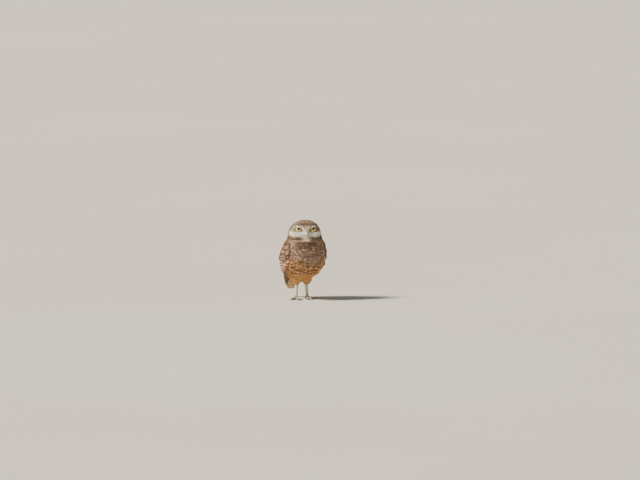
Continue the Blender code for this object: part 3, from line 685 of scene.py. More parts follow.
def contour_feather(bm, uvs, rng):
    """A body feather: broad and blunt, bent a little to one side."""
    width = rng.uniform(0.92, 1.05)
    outline = (
        (0.00, 0.08 * width, -0.015),
        (0.22, 0.32 * width, 0.006),
        (0.45, 0.46 * width, 0.018),
        (0.66, 0.50 * width, 0.020),
        (0.82, 0.47 * width, 0.015),
        (0.92, 0.37 * width, 0.009),
        (0.98, 0.20 * width, 0.003),
    )
    blade(bm, uvs, outline, 0, rng.uniform(-0.07, 0.07), sides=4)


def small_feather(bm, uvs, rng):
    """A small feather of the crown and neck, in fewer steps."""
    outline = (
        (0.00, 0.10, -0.03),
        (0.35, 0.40, 0.02),
        (0.68, 0.44, 0.03),
        (0.90, 0.28, 0.01),
        (0.98, 0.10, 0.0),
    )
    blade(bm, uvs, outline, 0, rng.uniform(-0.08, 0.08))


def single_barb(bm, uvs, rng):
    """One loose barb at the face of a feather: a flat spike."""
    width = rng.uniform(0.35, 0.5)
    tip = (rng.uniform(-0.3, 0.3), 1, 0.02)
    corners = [bm.verts.new(p) for p in ((-width, 0, 0), (0, 0.1, 0.06), (width, 0, 0), tip)]
    for face in ((0, 2, 1), (0, 1, 3), (1, 2, 3), (2, 0, 3)):
        map_from_above(bm.faces.new([corners[i] for i in face]), uvs)


def loose_tuft(bm, uvs, rng):
    """Three loose barbs from one root."""
    for k in (-1, 0, 1):
        reach = rng.uniform(0.75, 1.0)
        arch = rng.uniform(0.02, 0.06)
        inner, outer = (reach * 0.35, 0.11, arch), (reach * 0.7, 0.09, arch)
        outline = ((0, 0.07, -0.02), inner, outer, (reach, 0.01, 0.01))
        blade(bm, uvs, outline, k * 0.07, k * 0.34 + rng.uniform(-0.08, 0.08))


# Sorts of feather: what makes one, and the name of its map
SORTS = {
    "contour": (contour_feather, "vane"),
    "small": (small_feather, "vane"),
    "tuft": (loose_tuft, "vane"),
    "barb": (single_barb, "barb"),
}


def make_feathers():
    """A few feathers of each sort, that differ a little, for the coats to pick from."""
    for name, (make, layer) in SORTS.items():
        group = bpy.data.collections.new(name)
        bpy.context.scene.collection.children.link(group)
        rng = np.random.default_rng(SEED)
        for i in range(KINDS):
            bm = bmesh.new()
            uvs = bm.loops.layers.uv.new(layer)
            bm.faces.layers.float.new("upper")
            make(bm, uvs, rng)
            bmesh.ops.recalc_face_normals(bm, faces=bm.faces)
            group.objects.link(bpy.data.objects.new(f"{name}_{i}", mesh_from(bm)))


def remove_feathers():
    for name in SORTS:
        group = bpy.data.collections[name]
        for obj in list(group.objects):
            bpy.data.objects.remove(obj)
        bpy.data.collections.remove(group)


def grow_coat(name, mesh, sort, mask, spacing, length, width, tilt, disorder, seed, fringe=False):
    """Feathers over a mesh where its mask is, or with no mask on each of its points, as one plain mesh.
    spacing, length and width are in mm. The modifier that grew them is gone."""
    values = {
        "Feathers": bpy.data.collections[sort],
        "Material": bpy.data.materials[FEATHER],
        "Mask": mask,
        "Spacing": spacing * MM,
        "Length": length * MM,
        "Width": width * MM,
        "Tilt": tilt,
        "Disorder": disorder,
        "Seed": seed,
    }
    tree = coat_tree(bool(mask), fringe)
    obj = new_object(name, mesh)
    step = obj.modifiers.new("plumage", "NODES")
    step.node_group = tree
    for item in tree.interface.items_tree:
        if item.in_out == "INPUT" and item.name in values:
            step[item.identifier] = values[item.name]
    return new_object(name, plain_mesh(obj))


def with_fringe(coat, slot, length, spacing, seed):
    """Loose barbs over a coat of feathers, which soften their edges."""
    name = f"{coat.name}_barbs_{seed}"
    sizes = (spacing, length, length * 0.055)
    barbs = grow_coat(name, coat.data.copy(), "barb", "upper", *sizes, 0.07, 0.16, seed, fringe=True)
    finish(barbs, slot)


def finish(obj, slot, *nodes):
    """The piece rides with the body and stands for CAD nodes. The slot is not used."""
    for name in GUIDES:
        if name in obj.data.attributes:
            obj.data.attributes.remove(obj.data.attributes[name])
    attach(obj, "root")
    if nodes:
        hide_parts(*nodes)


def add_piece(name, mesh, material, slot, *nodes):
    """A finished piece of its own mesh and material."""
    mesh.materials.append(material)
    finish(new_object(name, mesh), slot, *nodes)


# Sections of the bed that the folded wings lie on: height, half width, widest y, front y, back y, in mm
WING_BED = (
    (18, 13.5, 56.0, 38.0, 72.5),
    (30, 21.0, 48.0, 23.0, 68.0),
    (45, 30.0, 33.0, 5.0, 61.2),
    (60, 38.5, 17.5, -23.0, 55.0),
    (74, 46.2, 7.0, -41.0, 49.5),
    (90, 50.7, 0.5, -49.0, 44.8),
    (105, 51.8, -4.0, -51.0, 38.8),
    (120, 50.8, -7.0, -50.5, 32.7),
    (138, 46.8, -9.8, -47.4, 26.2),
)
# Back and front edge of a folded wing: height in mm, then angles in degrees from straight back
WING_EDGES = (
    (25, 17, 25),
    (35, 12, 38),
    (50, 10, 56),
    (65, 12, 74),
    (80, 16, 92),
    (95, 22, 107),
    (110, 30, 116),
    (125, 38, 117),
    (134.5, 42, 112),
)
SQUARENESS = 2.25
WING_MARGIN = 10  # the body's feathers reach this many degrees under the wing
MASKS = ("down", "crown", "face", "brow", "bristles", "thigh", "tail_coverts")
GUIDES = ("flow", "size", "root", "outward", "upper", "barb", *MASKS)  # fields that only guide the growth


def in_table(table, z):
    """The other columns of a table at heights in mm."""
    rows = np.array(table)
    return [np.interp(z, rows[:, 0], column) for column in rows[:, 1:].T]


def bed_angle(points):
    """The angle round the wing bed of points of the row frame, in degrees. 0 is straight back."""
    x, y, z = ((points - np.array(trunk_middle())) / MM).T
    half, widest, front, back = in_table(WING_BED, z)
    depth = np.where(y > widest, back - widest, widest - front)
    across = (np.abs(x) / half) ** (SQUARENESS / 2)
    along = np.sign(y - widest) * (np.abs(y - widest) / depth) ** (SQUARENESS / 2)
    return np.degrees(np.arctan2(across, along))


def under_wing(points):
    """1 where a folded wing covers the body, up to a margin inside its edges."""
    z = points[:, 2] / MM
    back, front = in_table(WING_EDGES, z)
    back, front = back + WING_MARGIN, front - WING_MARGIN
    angle = bed_angle(points)
    inside = smooth_step(angle, back - 2, back) * smooth_step(angle, front, front - 3)
    return inside * smooth_step(z, 28, 32) * smooth_step(z, 131, 127)


def write_masks(mesh, points):
    """Where each coat grows, and how large its feathers are there."""
    a, b, c = in_head(points)
    y, z = (points / MM).T[1:]
    chin = smooth_step(b, -14, -4)
    on_head = smooth_step(z, 145 - 5.5 * chin, 149 - 5.5 * chin)
    face = smooth_step(b, -15, -9) * smooth_step(c, 12, 9)
    eye = eye_distance(points)
    clear = smooth_step(eye, 0.9, 0.98)
    bill = smooth_step(np.abs(a), 4.0, 3.2) * smooth_step(b, 0, 3)
    bill = bill * smooth_step(c, -1.5, -3) * smooth_step(c, -14, -12)
    brow = face * near_line(a, c, BROW_LINE, BROW_WIDTH + 0.6)
    bristles = smooth_step(np.abs(np.hypot(a, c + 4.5) - 5.5), 2.5, 1.0) * smooth_step(b, 1, 3)
    write_field(mesh, "crown", on_head * (1 - face))
    write_field(mesh, "face", on_head * face * clear * (1 - bill))
    write_field(mesh, "brow", np.minimum(brow * clear, 1 - bill))
    write_field(mesh, "bristles", bristles * smooth_step(c, -9.5, -7.5))
    write_field(mesh, "thigh", smooth_step(z, 62, 52) * smooth_step(y, 24, 16))
    write_field(mesh, "down", (1 - on_head) * (1 - under_wing(points)))
    near_bill = 0.55 + 0.45 * smooth_step(np.hypot(a, c + 5), 7, 26)
    small = np.minimum(near_bill, 0.45 + 0.55 * smooth_step(eye, 1.0, 2.2))
    size = 1 - on_head * (1 - small) * face
    write_field(mesh, "size", size + 0.55 * smooth_step(z, 152, 145) * on_head * face)


def mesh_of_places(points, spots, outward):
    """Loose vertices that the coat tree sets one feather on each of."""
    mesh = bpy.data.meshes.new("places")
    mesh.from_pydata(points.tolist(), [], [])
    write_field(mesh, "outward", outward)
    write_field(mesh, "OFBake", spots)
    return mesh


ROWS_LOW, ROWS_HIGH, ROW_PITCH, ROW_STEP = 0.046, 0.153, 0.0041, 0.0044


def feather_rows(skin):
    """Places in level rows round the body, each row half a step on from the last, as feathers grow."""
    bm = bmesh.new()
    bm.from_mesh(skin)
    hull = BVHTree.FromBMesh(bm)
    bm.free()
    normals = read_points(skin)[1]
    flat = skin.uv_layers["OFBake"].data
    rng = np.random.default_rng(SEED)
    middle = trunk_middle()
    found = []
    for row, z in enumerate(np.arange(ROWS_LOW, ROWS_HIGH, ROW_PITCH)):
        half, widest, *_ = in_table(WING_BED, z / MM)
        origin_y = middle.y + float(widest) * MM * 0.6
        count = int(2 * math.pi * float(half) * MM / ROW_STEP)
        for k in range(count):
            turn = 2 * math.pi * (k + 0.5 * (row % 2) + rng.uniform(-0.2, 0.2)) / count
            origin = Vector((0, origin_y, z + rng.uniform(-0.22, 0.22) * ROW_PITCH))
            place, _, face, _ = hull.ray_cast(origin, Vector((math.sin(turn), math.cos(turn), 0)))
            if place is None:
                continue
            polygon = skin.polygons[face]
            outward = unit(normals[list(polygon.vertices)].mean(axis=0)[None])[0]
            found.append((*place, *outward, *flat[polygon.loop_start].uv))
    found = np.array(found)
    found = found[under_wing(found[:, :3]) < 0.5]
    ahead = in_head(found[:, :3])[1]
    found = found[found[:, 2] / MM < 150 - 8.5 * smooth_step(ahead, -16, -6)]
    points, outward = found[:, :3], found[:, 3:6]
    mesh = mesh_of_places(points, found[:, 6:8], outward)
    write_plumage(mesh, points, outward)
    z = points[:, 2] / MM
    write_field(mesh, "size", 1 - 0.38 * smooth_step(z, 128, 150) - 0.15 * smooth_step(z, 70, 50))
    return mesh


FEATHER = "contour_feather_barbs"
# Barbs are drawn about three times as coarse as the real 0.3 mm, so that they show
BARBS_ON_A_FEATHER, MORE_ON_LONG_ONES = 90.0, 190.0


def oval_spots(tree, x, y, middle, tightness, ragged, heart):
    """Ovals round a middle, solid inside the heart, with a frayed rim as the barbs carry it."""
    spot = add_node(tree, JOIN, {"X": x, "Y": y})
    spot = add_node(tree, VECTOR_MATH, {0: spot, 1: (*middle, 0)}, operation="SUBTRACT")
    spot = add_node(tree, VECTOR_MATH, {0: spot, 1: (*tightness, 0)}, operation="MULTIPLY")
    spot = add_node(tree, VECTOR_MATH, {0: spot}, operation="LENGTH")
    spot = add_node(tree, MATH, {0: spot.outputs["Value"], 1: ragged}, operation="ADD")
    return add_node(tree, REMAP, {0: spot, 1: 1.1, 2: heart})


def feather_marks(tree, side, along, fray):
    """Masks on one feather: pale drops near the tip, a bar across it, a streak on its shaft, edge notches."""
    ragged = add_node(tree, MATH, {0: fray, 1: 1.1, 2: -0.55}, operation="MULTIPLY_ADD")
    drops = oval_spots(tree, side, along, (0.17, 0.85), (5.6, 9.0), ragged, 0.7)
    # Each feather's drops are of their own strength, a number drawn from its tint
    tint = add_node(tree, ATTRIBUTE, attribute_name="tint")
    own = add_node(tree, MATH, {0: tint.outputs["Fac"], 1: 17.0}, operation="MULTIPLY")
    own = add_node(tree, MATH, {0: own}, operation="FRACT")
    own = add_node(tree, REMAP, {0: own, 1: 0.0, 2: 0.8, 3: 0.15})
    drops = add_node(tree, MATH, {0: drops, 1: own}, operation="MULTIPLY")
    # The bar is bowed towards the tip at the shaft
    bow = add_node(tree, MATH, {0: side, 1: 0.35, 2: along}, operation="MULTIPLY_ADD")
    frayed = add_node(tree, MATH, {0: fray, 1: 0.24, 2: bow}, operation="MULTIPLY_ADD")
    off_bar = add_node(tree, MATH, {0: frayed, 1: 0.98}, operation="SUBTRACT")
    off_bar = add_node(tree, MATH, {0: off_bar}, operation="ABSOLUTE")
    bar = add_node(tree, REMAP, {0: off_bar, 1: 0.15, 2: 0.10})
    outer = add_node(tree, REMAP, {0: along, 1: 0.4, 2: 0.6})
    shaft = add_node(tree, REMAP, {0: side, 1: 0.15, 2: 0.08})
    streak = add_node(tree, MATH, {0: shaft, 1: outer}, operation="MULTIPLY")
    # The notches lie in pairs along both edges of the long feathers
    steps = add_node(tree, MATH, {0: bow, 1: 5.2}, operation="MULTIPLY")
    steps = add_node(tree, MATH, {0: steps}, operation="FRACT")
    edge = oval_spots(tree, side, steps, (0.42, 0.5), (3.7, 4.6), ragged, 0.8)
    long_ones = add_node(tree, ATTRIBUTE, attribute_name="notch")
    notches = add_node(tree, MATH, {0: edge, 1: long_ones.outputs["Fac"]}, operation="MULTIPLY")
    return drops, bar, streak, notches


def barb_lines(tree, side, along):
    """Fine lines that run out from the shaft, more of them on the long feathers."""
    fine = add_node(tree, ATTRIBUTE, attribute_name="fine")
    number = add_node(tree, MATH, {0: fine.outputs["Fac"], 1: BARBS_ON_A_FEATHER}, operation="ADD")
    slant = add_node(tree, MATH, {0: side, 1: -0.45, 2: along}, operation="MULTIPLY_ADD")
    barbs = add_node(tree, MATH, {0: slant, 1: number}, operation="MULTIPLY")
    return add_node(tree, NOISE, {"W": barbs, "Scale": 0.5, "Detail": 2.0}, noise_dimensions="1D")


def plumage_material(name, on_skin=False):
    """Keratin barbs on a shaft, or the downy skin under them: matt, soft to the eye, with hardly any
    gloss, a little darker or lighter from feather to feather, and finely lined where barbs lie."""
    made, tree, shader = new_material(name, 0.82)
    shader.inputs["Specular IOR Level"].default_value = 0.22
    ground = add_node(tree, ATTRIBUTE, attribute_name="ground")
    mark = add_node(tree, ATTRIBUTE, attribute_name="mark")
    pattern = add_node(tree, ATTRIBUTE, attribute_name="pattern")
    weights = add_node(tree, SPLIT, {0: pattern.outputs["Vector"]})
    place = add_node(tree, COORDINATES).outputs["Object"]
    soft = add_node(tree, NOISE, {"Vector": place, "Scale": 260.0, "Detail": 3.0})
    fray = add_node(tree, NOISE, {"Vector": place, "Scale": 700.0, "Detail": 2.0})
    vane = add_node(tree, ATTRIBUTE, attribute_name="vane")
    parts = add_node(tree, SPLIT, {0: vane.outputs["Vector"]})
    centred = add_node(tree, MATH, {0: parts, 1: 0.5}, operation="SUBTRACT")
    side = add_node(tree, MATH, {0: centred}, operation="ABSOLUTE")
    along = parts.outputs[1]
    *masks, shown = feather_marks(tree, side, along, fray)
    for mask, weight in zip(masks, weights.outputs):
        weighed = add_node(tree, MATH, {0: mask, 1: weight}, operation="MULTIPLY")
        shown = add_node(tree, MATH, {0: shown, 1: weighed}, operation="MAXIMUM")
    marked = add_node(tree, "ShaderNodeMix", {0: shown, 6: ground, 7: mark}, data_type="RGBA")
    tint = add_node(tree, ATTRIBUTE, attribute_name="tint")
    bright = add_node(tree, MATH, {0: tint.outputs["Fac"], 1: 0.26, 2: 0.76}, operation="MULTIPLY_ADD")
    bright = add_node(tree, MATH, {0: soft, 1: 0.22, 2: bright}, operation="MULTIPLY_ADD")
    toned = add_node(tree, SHADE, {"Value": bright, "Color": marked.outputs[2]})
    if not on_skin:
        lines = barb_lines(tree, side, along)
        shade = add_node(tree, MATH, {0: lines, 1: 0.4, 2: 0.8}, operation="MULTIPLY_ADD")
        toned = add_node(tree, SHADE, {"Value": shade, "Color": toned})
        relief = add_node(tree, BUMP, {"Height": lines, "Strength": 0.25, "Distance": 0.0002})
        tree.links.new(relief.outputs[0], shader.inputs["Normal"])
    tree.links.new(toned.outputs[0], shader.inputs["Base Color"])
    return made


# Coats on the skin: sort of feather, mask, spacing, length and width in mm, tilt, seed
COATS = {
    "crown_feathers": ("small", "crown", 1.7, 5.8, 3.4, 0.16, 2),
    "face_feathers": ("tuft", "face", 0.85, 3.6, 2.4, 0.14, 3),
    "brow_feathers": ("tuft", "brow", 1.1, 4.6, 3.0, 0.26, 4),
    "bill_bristles": ("tuft", "bristles", 1.0, 8.5, 2.2, 0.55, 22),
    "down": ("tuft", "down", 2.8, 8.0, 5.2, 0.16, 5),
    "thigh_feathers": ("tuft", "thigh", 1.7, 8.4, 4.4, 0.16, 6),
}


def build_plumage():
    """The skin and every coat that grows on it."""
    skin = flesh_skin()
    points, normals = read_points(skin)
    write_plumage(skin, points, normals)
    write_masks(skin, points)
    unwrap(skin)
    body = grow_coat("body_feathers", feather_rows(skin), "contour", "", 0, 13.0, 8.4, 0.085, 0.10, 1)
    with_fringe(body, "feather_breast", 3.4, 1.7, 7)
    with_fringe(body, "feather_breast", 2.4, 1.7, 21)
    finish(body, "feather_breast")
    for name, (*sizes, seed) in COATS.items():
        coat = grow_coat(name, skin.copy(), *sizes, 0.10, seed)
        if name == "crown_feathers":
            with_fringe(coat, "feather_brown", 1.8, 1.2, 8)
        finish(coat, "feather_brown")
    add_piece("skin", skin, plumage_material("downy_skin", on_skin=True), "feather_brown", *FLESH)


WING_TOP = 134.5
WING_FADE_TOP = 17.0  # the pile of feathers thins over this height below its top
WING_FADE_FRONT = 26.0  # and over this angle behind its front edge
VANE_TILT = 0.45  # the front edge of a wing feather lies this much higher than its middle
FEATHER_THICKNESS = 0.00025
STATIONS, COLUMNS = 15, 7  # points along and across a large feather
PAD_COLUMNS = 24
SHOULDER_ROWS, SHOULDER_STEP = (101.5, 138, 3.3), 4.1  # from, to and by in mm, then along a row
FLANK_ROWS = (70, 101, 1.3)
MM_PER_DEGREE = 0.9  # round the bed, at the shoulder
TAIL_FAN = math.radians(1.7)  # turn from one pair of tail feathers to the next
TAIL_LAYER, TAIL_HALF_WIDTH, TAIL_SHORTENING = 0.42, 6.6, 0.012
TAIL_ROOT = Vector((0, 0.0330, 0.0810))
TAIL_TIP = Vector((0, 0.0680, 0.0195))
TAIL_COVERTS_TOP = (71, 67)  # no coverts above these heights in mm, where the tail is inside the body

FLIGHT = (FLIGHT_BROWN, FLIGHT_BAND, (0.0, 0.0, 0.0))
COVERT = (WING_BROWN, WING_SPOT, (1.0, 0.0, 0.0))
# Tiers of a folded wing over the long flight feathers, from the lowest up: number, half width, bow,
# colours, notches, whether the tips are uneven, then for the first feather and as the change to the last
# one the root's height and angle, the tip's height and angle, and the lift of root and tip
WING_TIERS = (
    (9, 6.6, 3, FLIGHT, 1.0, False, ((107, 0), (106, -68), (75.5, -16), (84, -64), (1.1, 1.6), (1.6, 1.6))),
    (13, 4.7, 1, COVERT, 0.4, True, ((116, 0), (110, -74), (89.5, -7), (99, -72), (1.5, 1.0), (2.5, 1.0))),
    (13, 4.3, 0, COVERT, 0.0, True, ((126, 0), (108, -68), (101.5, -3), (103, -68), (1.8, 0.7), (3.2, 0.7))),
    (9, 5.6, 0, COVERT, 0.7, False, ((129, -30), (53, -24), (102, -30), (45, -27), (2.0, 0), (4.0, 0))),
    (3, 3.4, 0, FLIGHT, 1.0, False, ((103, -6), (110, 0), (83, -10), (96, -8), (1.2, 1.0), (2.4, 0.8))),
)


def bed_points(z, angle):
    """Points of the left wing's bed at heights in mm and angles in degrees."""
    half, widest, front, back = in_table(WING_BED, z)
    across, along = np.sin(np.radians(angle)), np.cos(np.radians(angle))
    depth = np.where(along > 0, back - widest, widest - front)
    power = 2 / SQUARENESS
    x = half * np.sign(across) * np.abs(across) ** power
    y = widest + depth * np.sign(along) * np.abs(along) ** power
    return np.stack((x, y, z), axis=-1) * MM + np.array(trunk_middle())


def bed_slopes(z, angle):
    """How the bed runs with height and with angle, per mm and per degree, and its outward normal."""
    up = bed_points(z + 0.5, angle) - bed_points(z - 0.5, angle)
    round_ = bed_points(z, angle + 0.5) - bed_points(z, angle - 0.5)
    return up, round_, unit(np.cross(up, round_))


def over_bed(z, angle, lift):
    """Points over the bed, lower at the wing's front edge and top where it thins into the body."""
    front = in_table(WING_EDGES, z)[1] + 3.4
    fade = smooth_step(z, WING_TOP, WING_TOP - WING_FADE_TOP)
    fade = fade * smooth_step(angle, front, front - WING_FADE_FRONT)
    outward = bed_slopes(z, angle)[2]
    return bed_points(z, angle) + outward * (lift * (0.08 + 0.92 * fade))[:, None] * MM, outward


def vane_width(t):
    """Share of a feather's full half width along its length, with a rounded tip."""
    base = 0.55 + 0.45 * np.sin(np.minimum(t, 0.5) / 0.5 * math.pi / 2)
    return base * np.sqrt(np.clip(1 - np.clip((t - 0.72) / 0.29, 0, 1) ** 2.4, 0.02, 1))


def sheet_faces(upper, under):
    """Quads over both faces and round the rim of a thin sheet, from its points' numbers in rows."""
    n, m = upper.shape
    quads = []
    for i in range(n - 1):
        for k in range(m - 1):
            quads.append((upper[i, k], upper[i, k + 1], upper[i + 1, k + 1], upper[i + 1, k]))
            quads.append((under[i, k], under[i + 1, k], under[i + 1, k + 1], under[i, k + 1]))
        quads.append((upper[i, 0], upper[i + 1, 0], under[i + 1, 0], under[i, 0]))
        quads.append((upper[i + 1, -1], upper[i, -1], under[i, -1], under[i + 1, -1]))
    for k in range(m - 1):
        quads.append((upper[0, k + 1], upper[0, k], under[0, k], under[0, k + 1]))
        quads.append((upper[-1, k], upper[-1, k + 1], under[-1, k + 1], under[-1, k]))
    return quads


class Vanes:
    """Gathers large feathers, each a thin closed sheet, into one mesh with its maps and colours."""

    def __init__(self, cells):
        self.cells = cells  # feathers along each side of the baked map
        self.count = 0
        self.places, self.faces = [], []
        self.maps = {"vane": [], "OFBake": []}
        self.fields = {"ground": [], "mark": [], "pattern": [], "notch": [], "tint": []}
        self.rng = np.random.default_rng(SEED)

    def columns(self, t):
        """For each column, its place across from -1 to 1 and how far out it lies at each station, with
        small splits between the barbs at the rim."""
        rim = 1 - 0.05 * self.rng.random((STATIONS, 2))
        for _ in range(2):
            row = self.rng.integers(STATIONS // 2, STATIONS - 1)
            rim[row, self.rng.integers(0, 2)] -= 0.16
        shares = np.linspace(-1, 1, COLUMNS)
        return [(k, k * vane_width(t) * (rim[:, int(k > 0)] if abs(k) > 0.6 else 1)) for k in shares]

    def add(self, top, normal, ground, mark, pattern, notch):
        """top is the outer face, stations by columns. The inner face lies under it, closer at the edges."""
        thin = FEATHER_THICKNESS * (1 - 0.6 * np.abs(np.linspace(-1, 1, COLUMNS)))[None, :, None]
        self.places.append(np.concatenate((top.reshape(-1, 3), (top - normal * thin).reshape(-1, 3))))
        face = STATIONS * COLUMNS
        upper = np.arange(face).reshape(STATIONS, COLUMNS) + self.count * 2 * face
        self.faces += sheet_faces(upper, upper + face)
        u, v = np.meshgrid(np.linspace(0, 1, COLUMNS), np.linspace(0, 1, STATIONS))
        one = np.stack((u, v), axis=-1).reshape(-1, 2)
        self.maps["vane"].append(np.concatenate((one, one)))
        row, column = divmod(self.count, self.cells)
        for half in (0, 0.5):
            cell = one * (0.42, 0.9) + (half + 0.04 + column, 0.05 + row)
            self.maps["OFBake"].append(cell / self.cells)
        # The inner face is made paler: partly the feather's own paler underside, partly painted light that
        # lifts the shade this face lies in
        below = tuple((g + m) / 2 for g, m in zip(ground, mark))  # the inner face is paler
        self.fields["ground"].append(np.repeat(np.array(((*ground, 1), (*below, 1))), face, axis=0))
        rest = {"mark": (*mark, 1), "pattern": pattern, "notch": notch, "tint": self.rng.random()}
        for name, value in rest.items():
            self.fields[name].append(np.tile(value, (2 * face, 1)))
        self.count += 1

    def mesh(self, mirrored=False):
        places = np.concatenate(self.places)
        if mirrored:
            places = places * (-1, 1, 1)
        made = bpy.data.meshes.new("vanes")
        made.from_pydata(places.tolist(), [], [f[::-1] if mirrored else f for f in self.faces])
        for name, values in self.fields.items():
            write_field(made, name, np.concatenate(values))
        write_field(made, "fine", np.full(len(places), MORE_ON_LONG_ONES))
        corners = np.zeros(len(made.loops), np.int32)
        made.loops.foreach_get("vertex_index", corners)
        for name, values in self.maps.items():
            layer = made.uv_layers.new(name=name)
            layer.data.foreach_set("uv", np.concatenate(values)[corners].astype(np.float32).ravel())
        made.shade_smooth()
        made.set_sharp_from_angle(angle=math.radians(50))
        return made


def wing_vane(vanes, root, tip, half_width, lifts, bow, colours, notch):
    """A feather laid on the wing bed. root and tip are (height in mm, angle in degrees), lifts in mm."""
    t = np.linspace(0, 1, STATIONS)
    z = root[0] + (tip[0] - root[0]) * t
    angle = root[1] + (tip[1] - root[1]) * t + bow * np.sin(math.pi * t)
    up, round_, outward = bed_slopes(z, angle)
    along = unit(np.gradient(bed_points(z, angle), axis=0))
    across = np.cross(along, outward) * half_width * MM
    across *= np.sign(np.sum(across * round_, axis=1))[:, None]
    top = np.zeros((STATIONS, COLUMNS, 3))
    normal = np.zeros_like(top)
    for i, (k, reach) in enumerate(vanes.columns(t)):
        step = across * reach[:, None]
        rise = step[:, 2] / MM
        turn = np.sum((step - up * rise[:, None]) * round_, axis=1) / np.sum(round_**2, axis=1)
        shaft = 0.30 * math.exp(-((k / 0.16) ** 2))
        lift = lifts[0] + (lifts[1] - lifts[0]) * t + VANE_TILT * k + 0.45 * (1 - k * k) + shaft * (1 - t)
        top[:, i], normal[:, i] = over_bed(z + rise, angle + turn, lift)
    vanes.add(top, normal, *colours, notch)


def wing_tiers():
    """The large feathers of a folded wing, tier by tier from the lowest layer to the highest."""
    vanes = Vanes(cells=10)
    for s in np.linspace(0, 1, 9):
        tip = (26 + 26 * s**1.5, 23 - 8 * s**0.7)
        lift = 0.1 + 2.0 * s
        wing_vane(vanes, (98 + 4 * s, 104 - 46 * s), tip, 5.6, (lift, lift), 9 - 6 * s, FLIGHT, 1.0)
    shifts = None
    for number, half_width, bow, colours, notch, uneven, spans in WING_TIERS:
        if uneven and shifts is None:
            shifts = iter(vanes.rng.uniform(-1.6, 1.6, 26))
        for s in np.linspace(0, 1, number):
            root_z, root_a, tip_z, tip_a, low, high = (first + change * s for first, change in spans)
            if uneven:
                tip_z += next(shifts)
            wing_vane(vanes, (root_z, root_a), (tip_z, tip_a), half_width, (low, high), bow, colours, notch)
    return vanes


def loft(rings, round_about=False):
    """A closed surface through rings of points. round_about joins the last ring to the first."""
    bm = bmesh.new()
    rows = [[bm.verts.new(p) for p in ring] for ring in rings]
    for low, high in zip(rows, rows[1:] + rows[:1] if round_about else rows[1:]):
        for k in range(len(low)):
            j = (k + 1) % len(low)
            bm.faces.new((low[k], low[j], high[j], high[k]))
    if not round_about:
        bm.faces.new(rows[0][::-1])
        bm.faces.new(rows[-1])
    for face in bm.faces:
        face.smooth = True
    bmesh.ops.recalc_face_normals(bm, faces=bm.faces)
    return mesh_from(bm)


def wing_underlayer(side):
    """The wing's flesh and the hidden parts of its feathers, a pad that lies under every tier."""
    rings = []
    share = np.linspace(0, 1, PAD_COLUMNS)
    edge = np.sin(math.pi * (0.04 + 0.92 * share)) ** 0.5
    for z in np.linspace(24, 134, 34):
        back, front = in_table(WING_EDGES, z)
        angle = np.linspace(back + 1.5, front - 1.5, PAD_COLUMNS)
        height = np.full(PAD_COLUMNS, z)
        swell = 2.0 * smooth_step(z, 55, 112) - 0.5
        outer = over_bed(height, angle, swell * edge)[0]
        depth = 1.2 + 4.0 * smooth_step(z, 50, 70)
        inner = bed_points(height, angle) - bed_slopes(height, angle)[2] * depth * MM
        rings.append(np.concatenate((outer, inner[::-1])) * (side, 1, 1))
    mesh = loft(rings)
    # The pad's inner face takes the pale lining colour: the wing's own buff lining plus painted light that
    # lifts the shade it lies in
    shades = np.repeat(np.array((WING_BROWN, WING_LINING_WITH_PAINTED_LIGHT)), PAD_COLUMNS, axis=0)
    write_given_plumage(mesh, np.tile(shades, (len(rings), 1)), WING_SPOT, (0, 0, 0), (0, 0, -1))
    unwrap(mesh)
    return mesh


def tail_frame():
    """The tail's root, its heading, its outward side and its length."""
    along = (TAIL_TIP - TAIL_ROOT).normalized()
    outward = Vector((0, -along.z, along.y)).normalized()
    return TAIL_ROOT + trunk_middle(), along, outward, (TAIL_TIP - TAIL_ROOT).length


def tail_feathers():
    """Twelve tail feathers, closed like a fan with the middle pair on top."""
    vanes = Vanes(cells=4)
    root, along, outward, length = tail_frame()
    t = np.linspace(0.10, 1, STATIONS)
    for i in range(6):
        for side in (-1, 1):
            turn = Matrix.Rotation(side * TAIL_FAN * (i + 0.5), 3, outward)
            heading = np.array(turn @ along)
            across = np.cross(heading, np.array(outward))
            drop = -TAIL_LAYER * MM * (i * 2 + (side > 0))
            spine = np.array(root) + heading * (length * (1 - TAIL_SHORTENING * i) * t)[:, None]
            top = np.zeros((STATIONS, COLUMNS, 3))
            for j, (k, reach) in enumerate(vanes.columns(t)):
                lift = drop + 0.4 * MM * (1 - k * k) + 0.25 * MM * math.exp(-((k / 0.16) ** 2))
                aside = across * (TAIL_HALF_WIDTH * MM * reach)[:, None]
                top[:, j] = spine + aside + np.array(outward) * lift
            normal = np.tile(np.array(outward), (STATIONS, COLUMNS, 1))
            vanes.add(top, normal, TAIL_BROWN, TAIL_BAND, (0.0, 0.0, 0.0), 1.0)
    return vanes.mesh()


def tail_underlayer():
    """The base of the tail under its coverts, an oval lobe that thins along the tail, pale below."""
    root, along, outward, length = tail_frame()
    rings = []
    for t in np.linspace(0, 1, 16):
        centre = root + along * length * (0.02 + 0.54 * t) - outward * 0.0035
        swell = math.sqrt(max(1 - t**2.2, 0.02))
        turn = np.radians(np.arange(0, 360, 12))
        across = np.outer(np.cos(turn), (0.0150 * swell, 0, 0))
        rings.append(np.array(centre) + across + np.outer(np.sin(turn), np.array(outward) * 0.0045 * swell))
    mesh = loft(rings)
    points, normals = read_points(mesh)
    below = smooth_step(normals @ np.array(outward), 0.1, -0.2)
    ground = mixed(np.tile(np.array(BACK_BROWN), (len(points), 1)), TAIL_LINING, below)
    write_given_plumage(mesh, ground, BACK_SPOT, np.outer(1 - below, (1, 0, 0)), along)
    outside = smooth_step(points[:, 2] / MM, *TAIL_COVERTS_TOP)
    write_field(mesh, "tail_coverts", outside * smooth_step(normals @ np.array(along), 0.6, 0.3))
    unwrap(mesh)
    return mesh


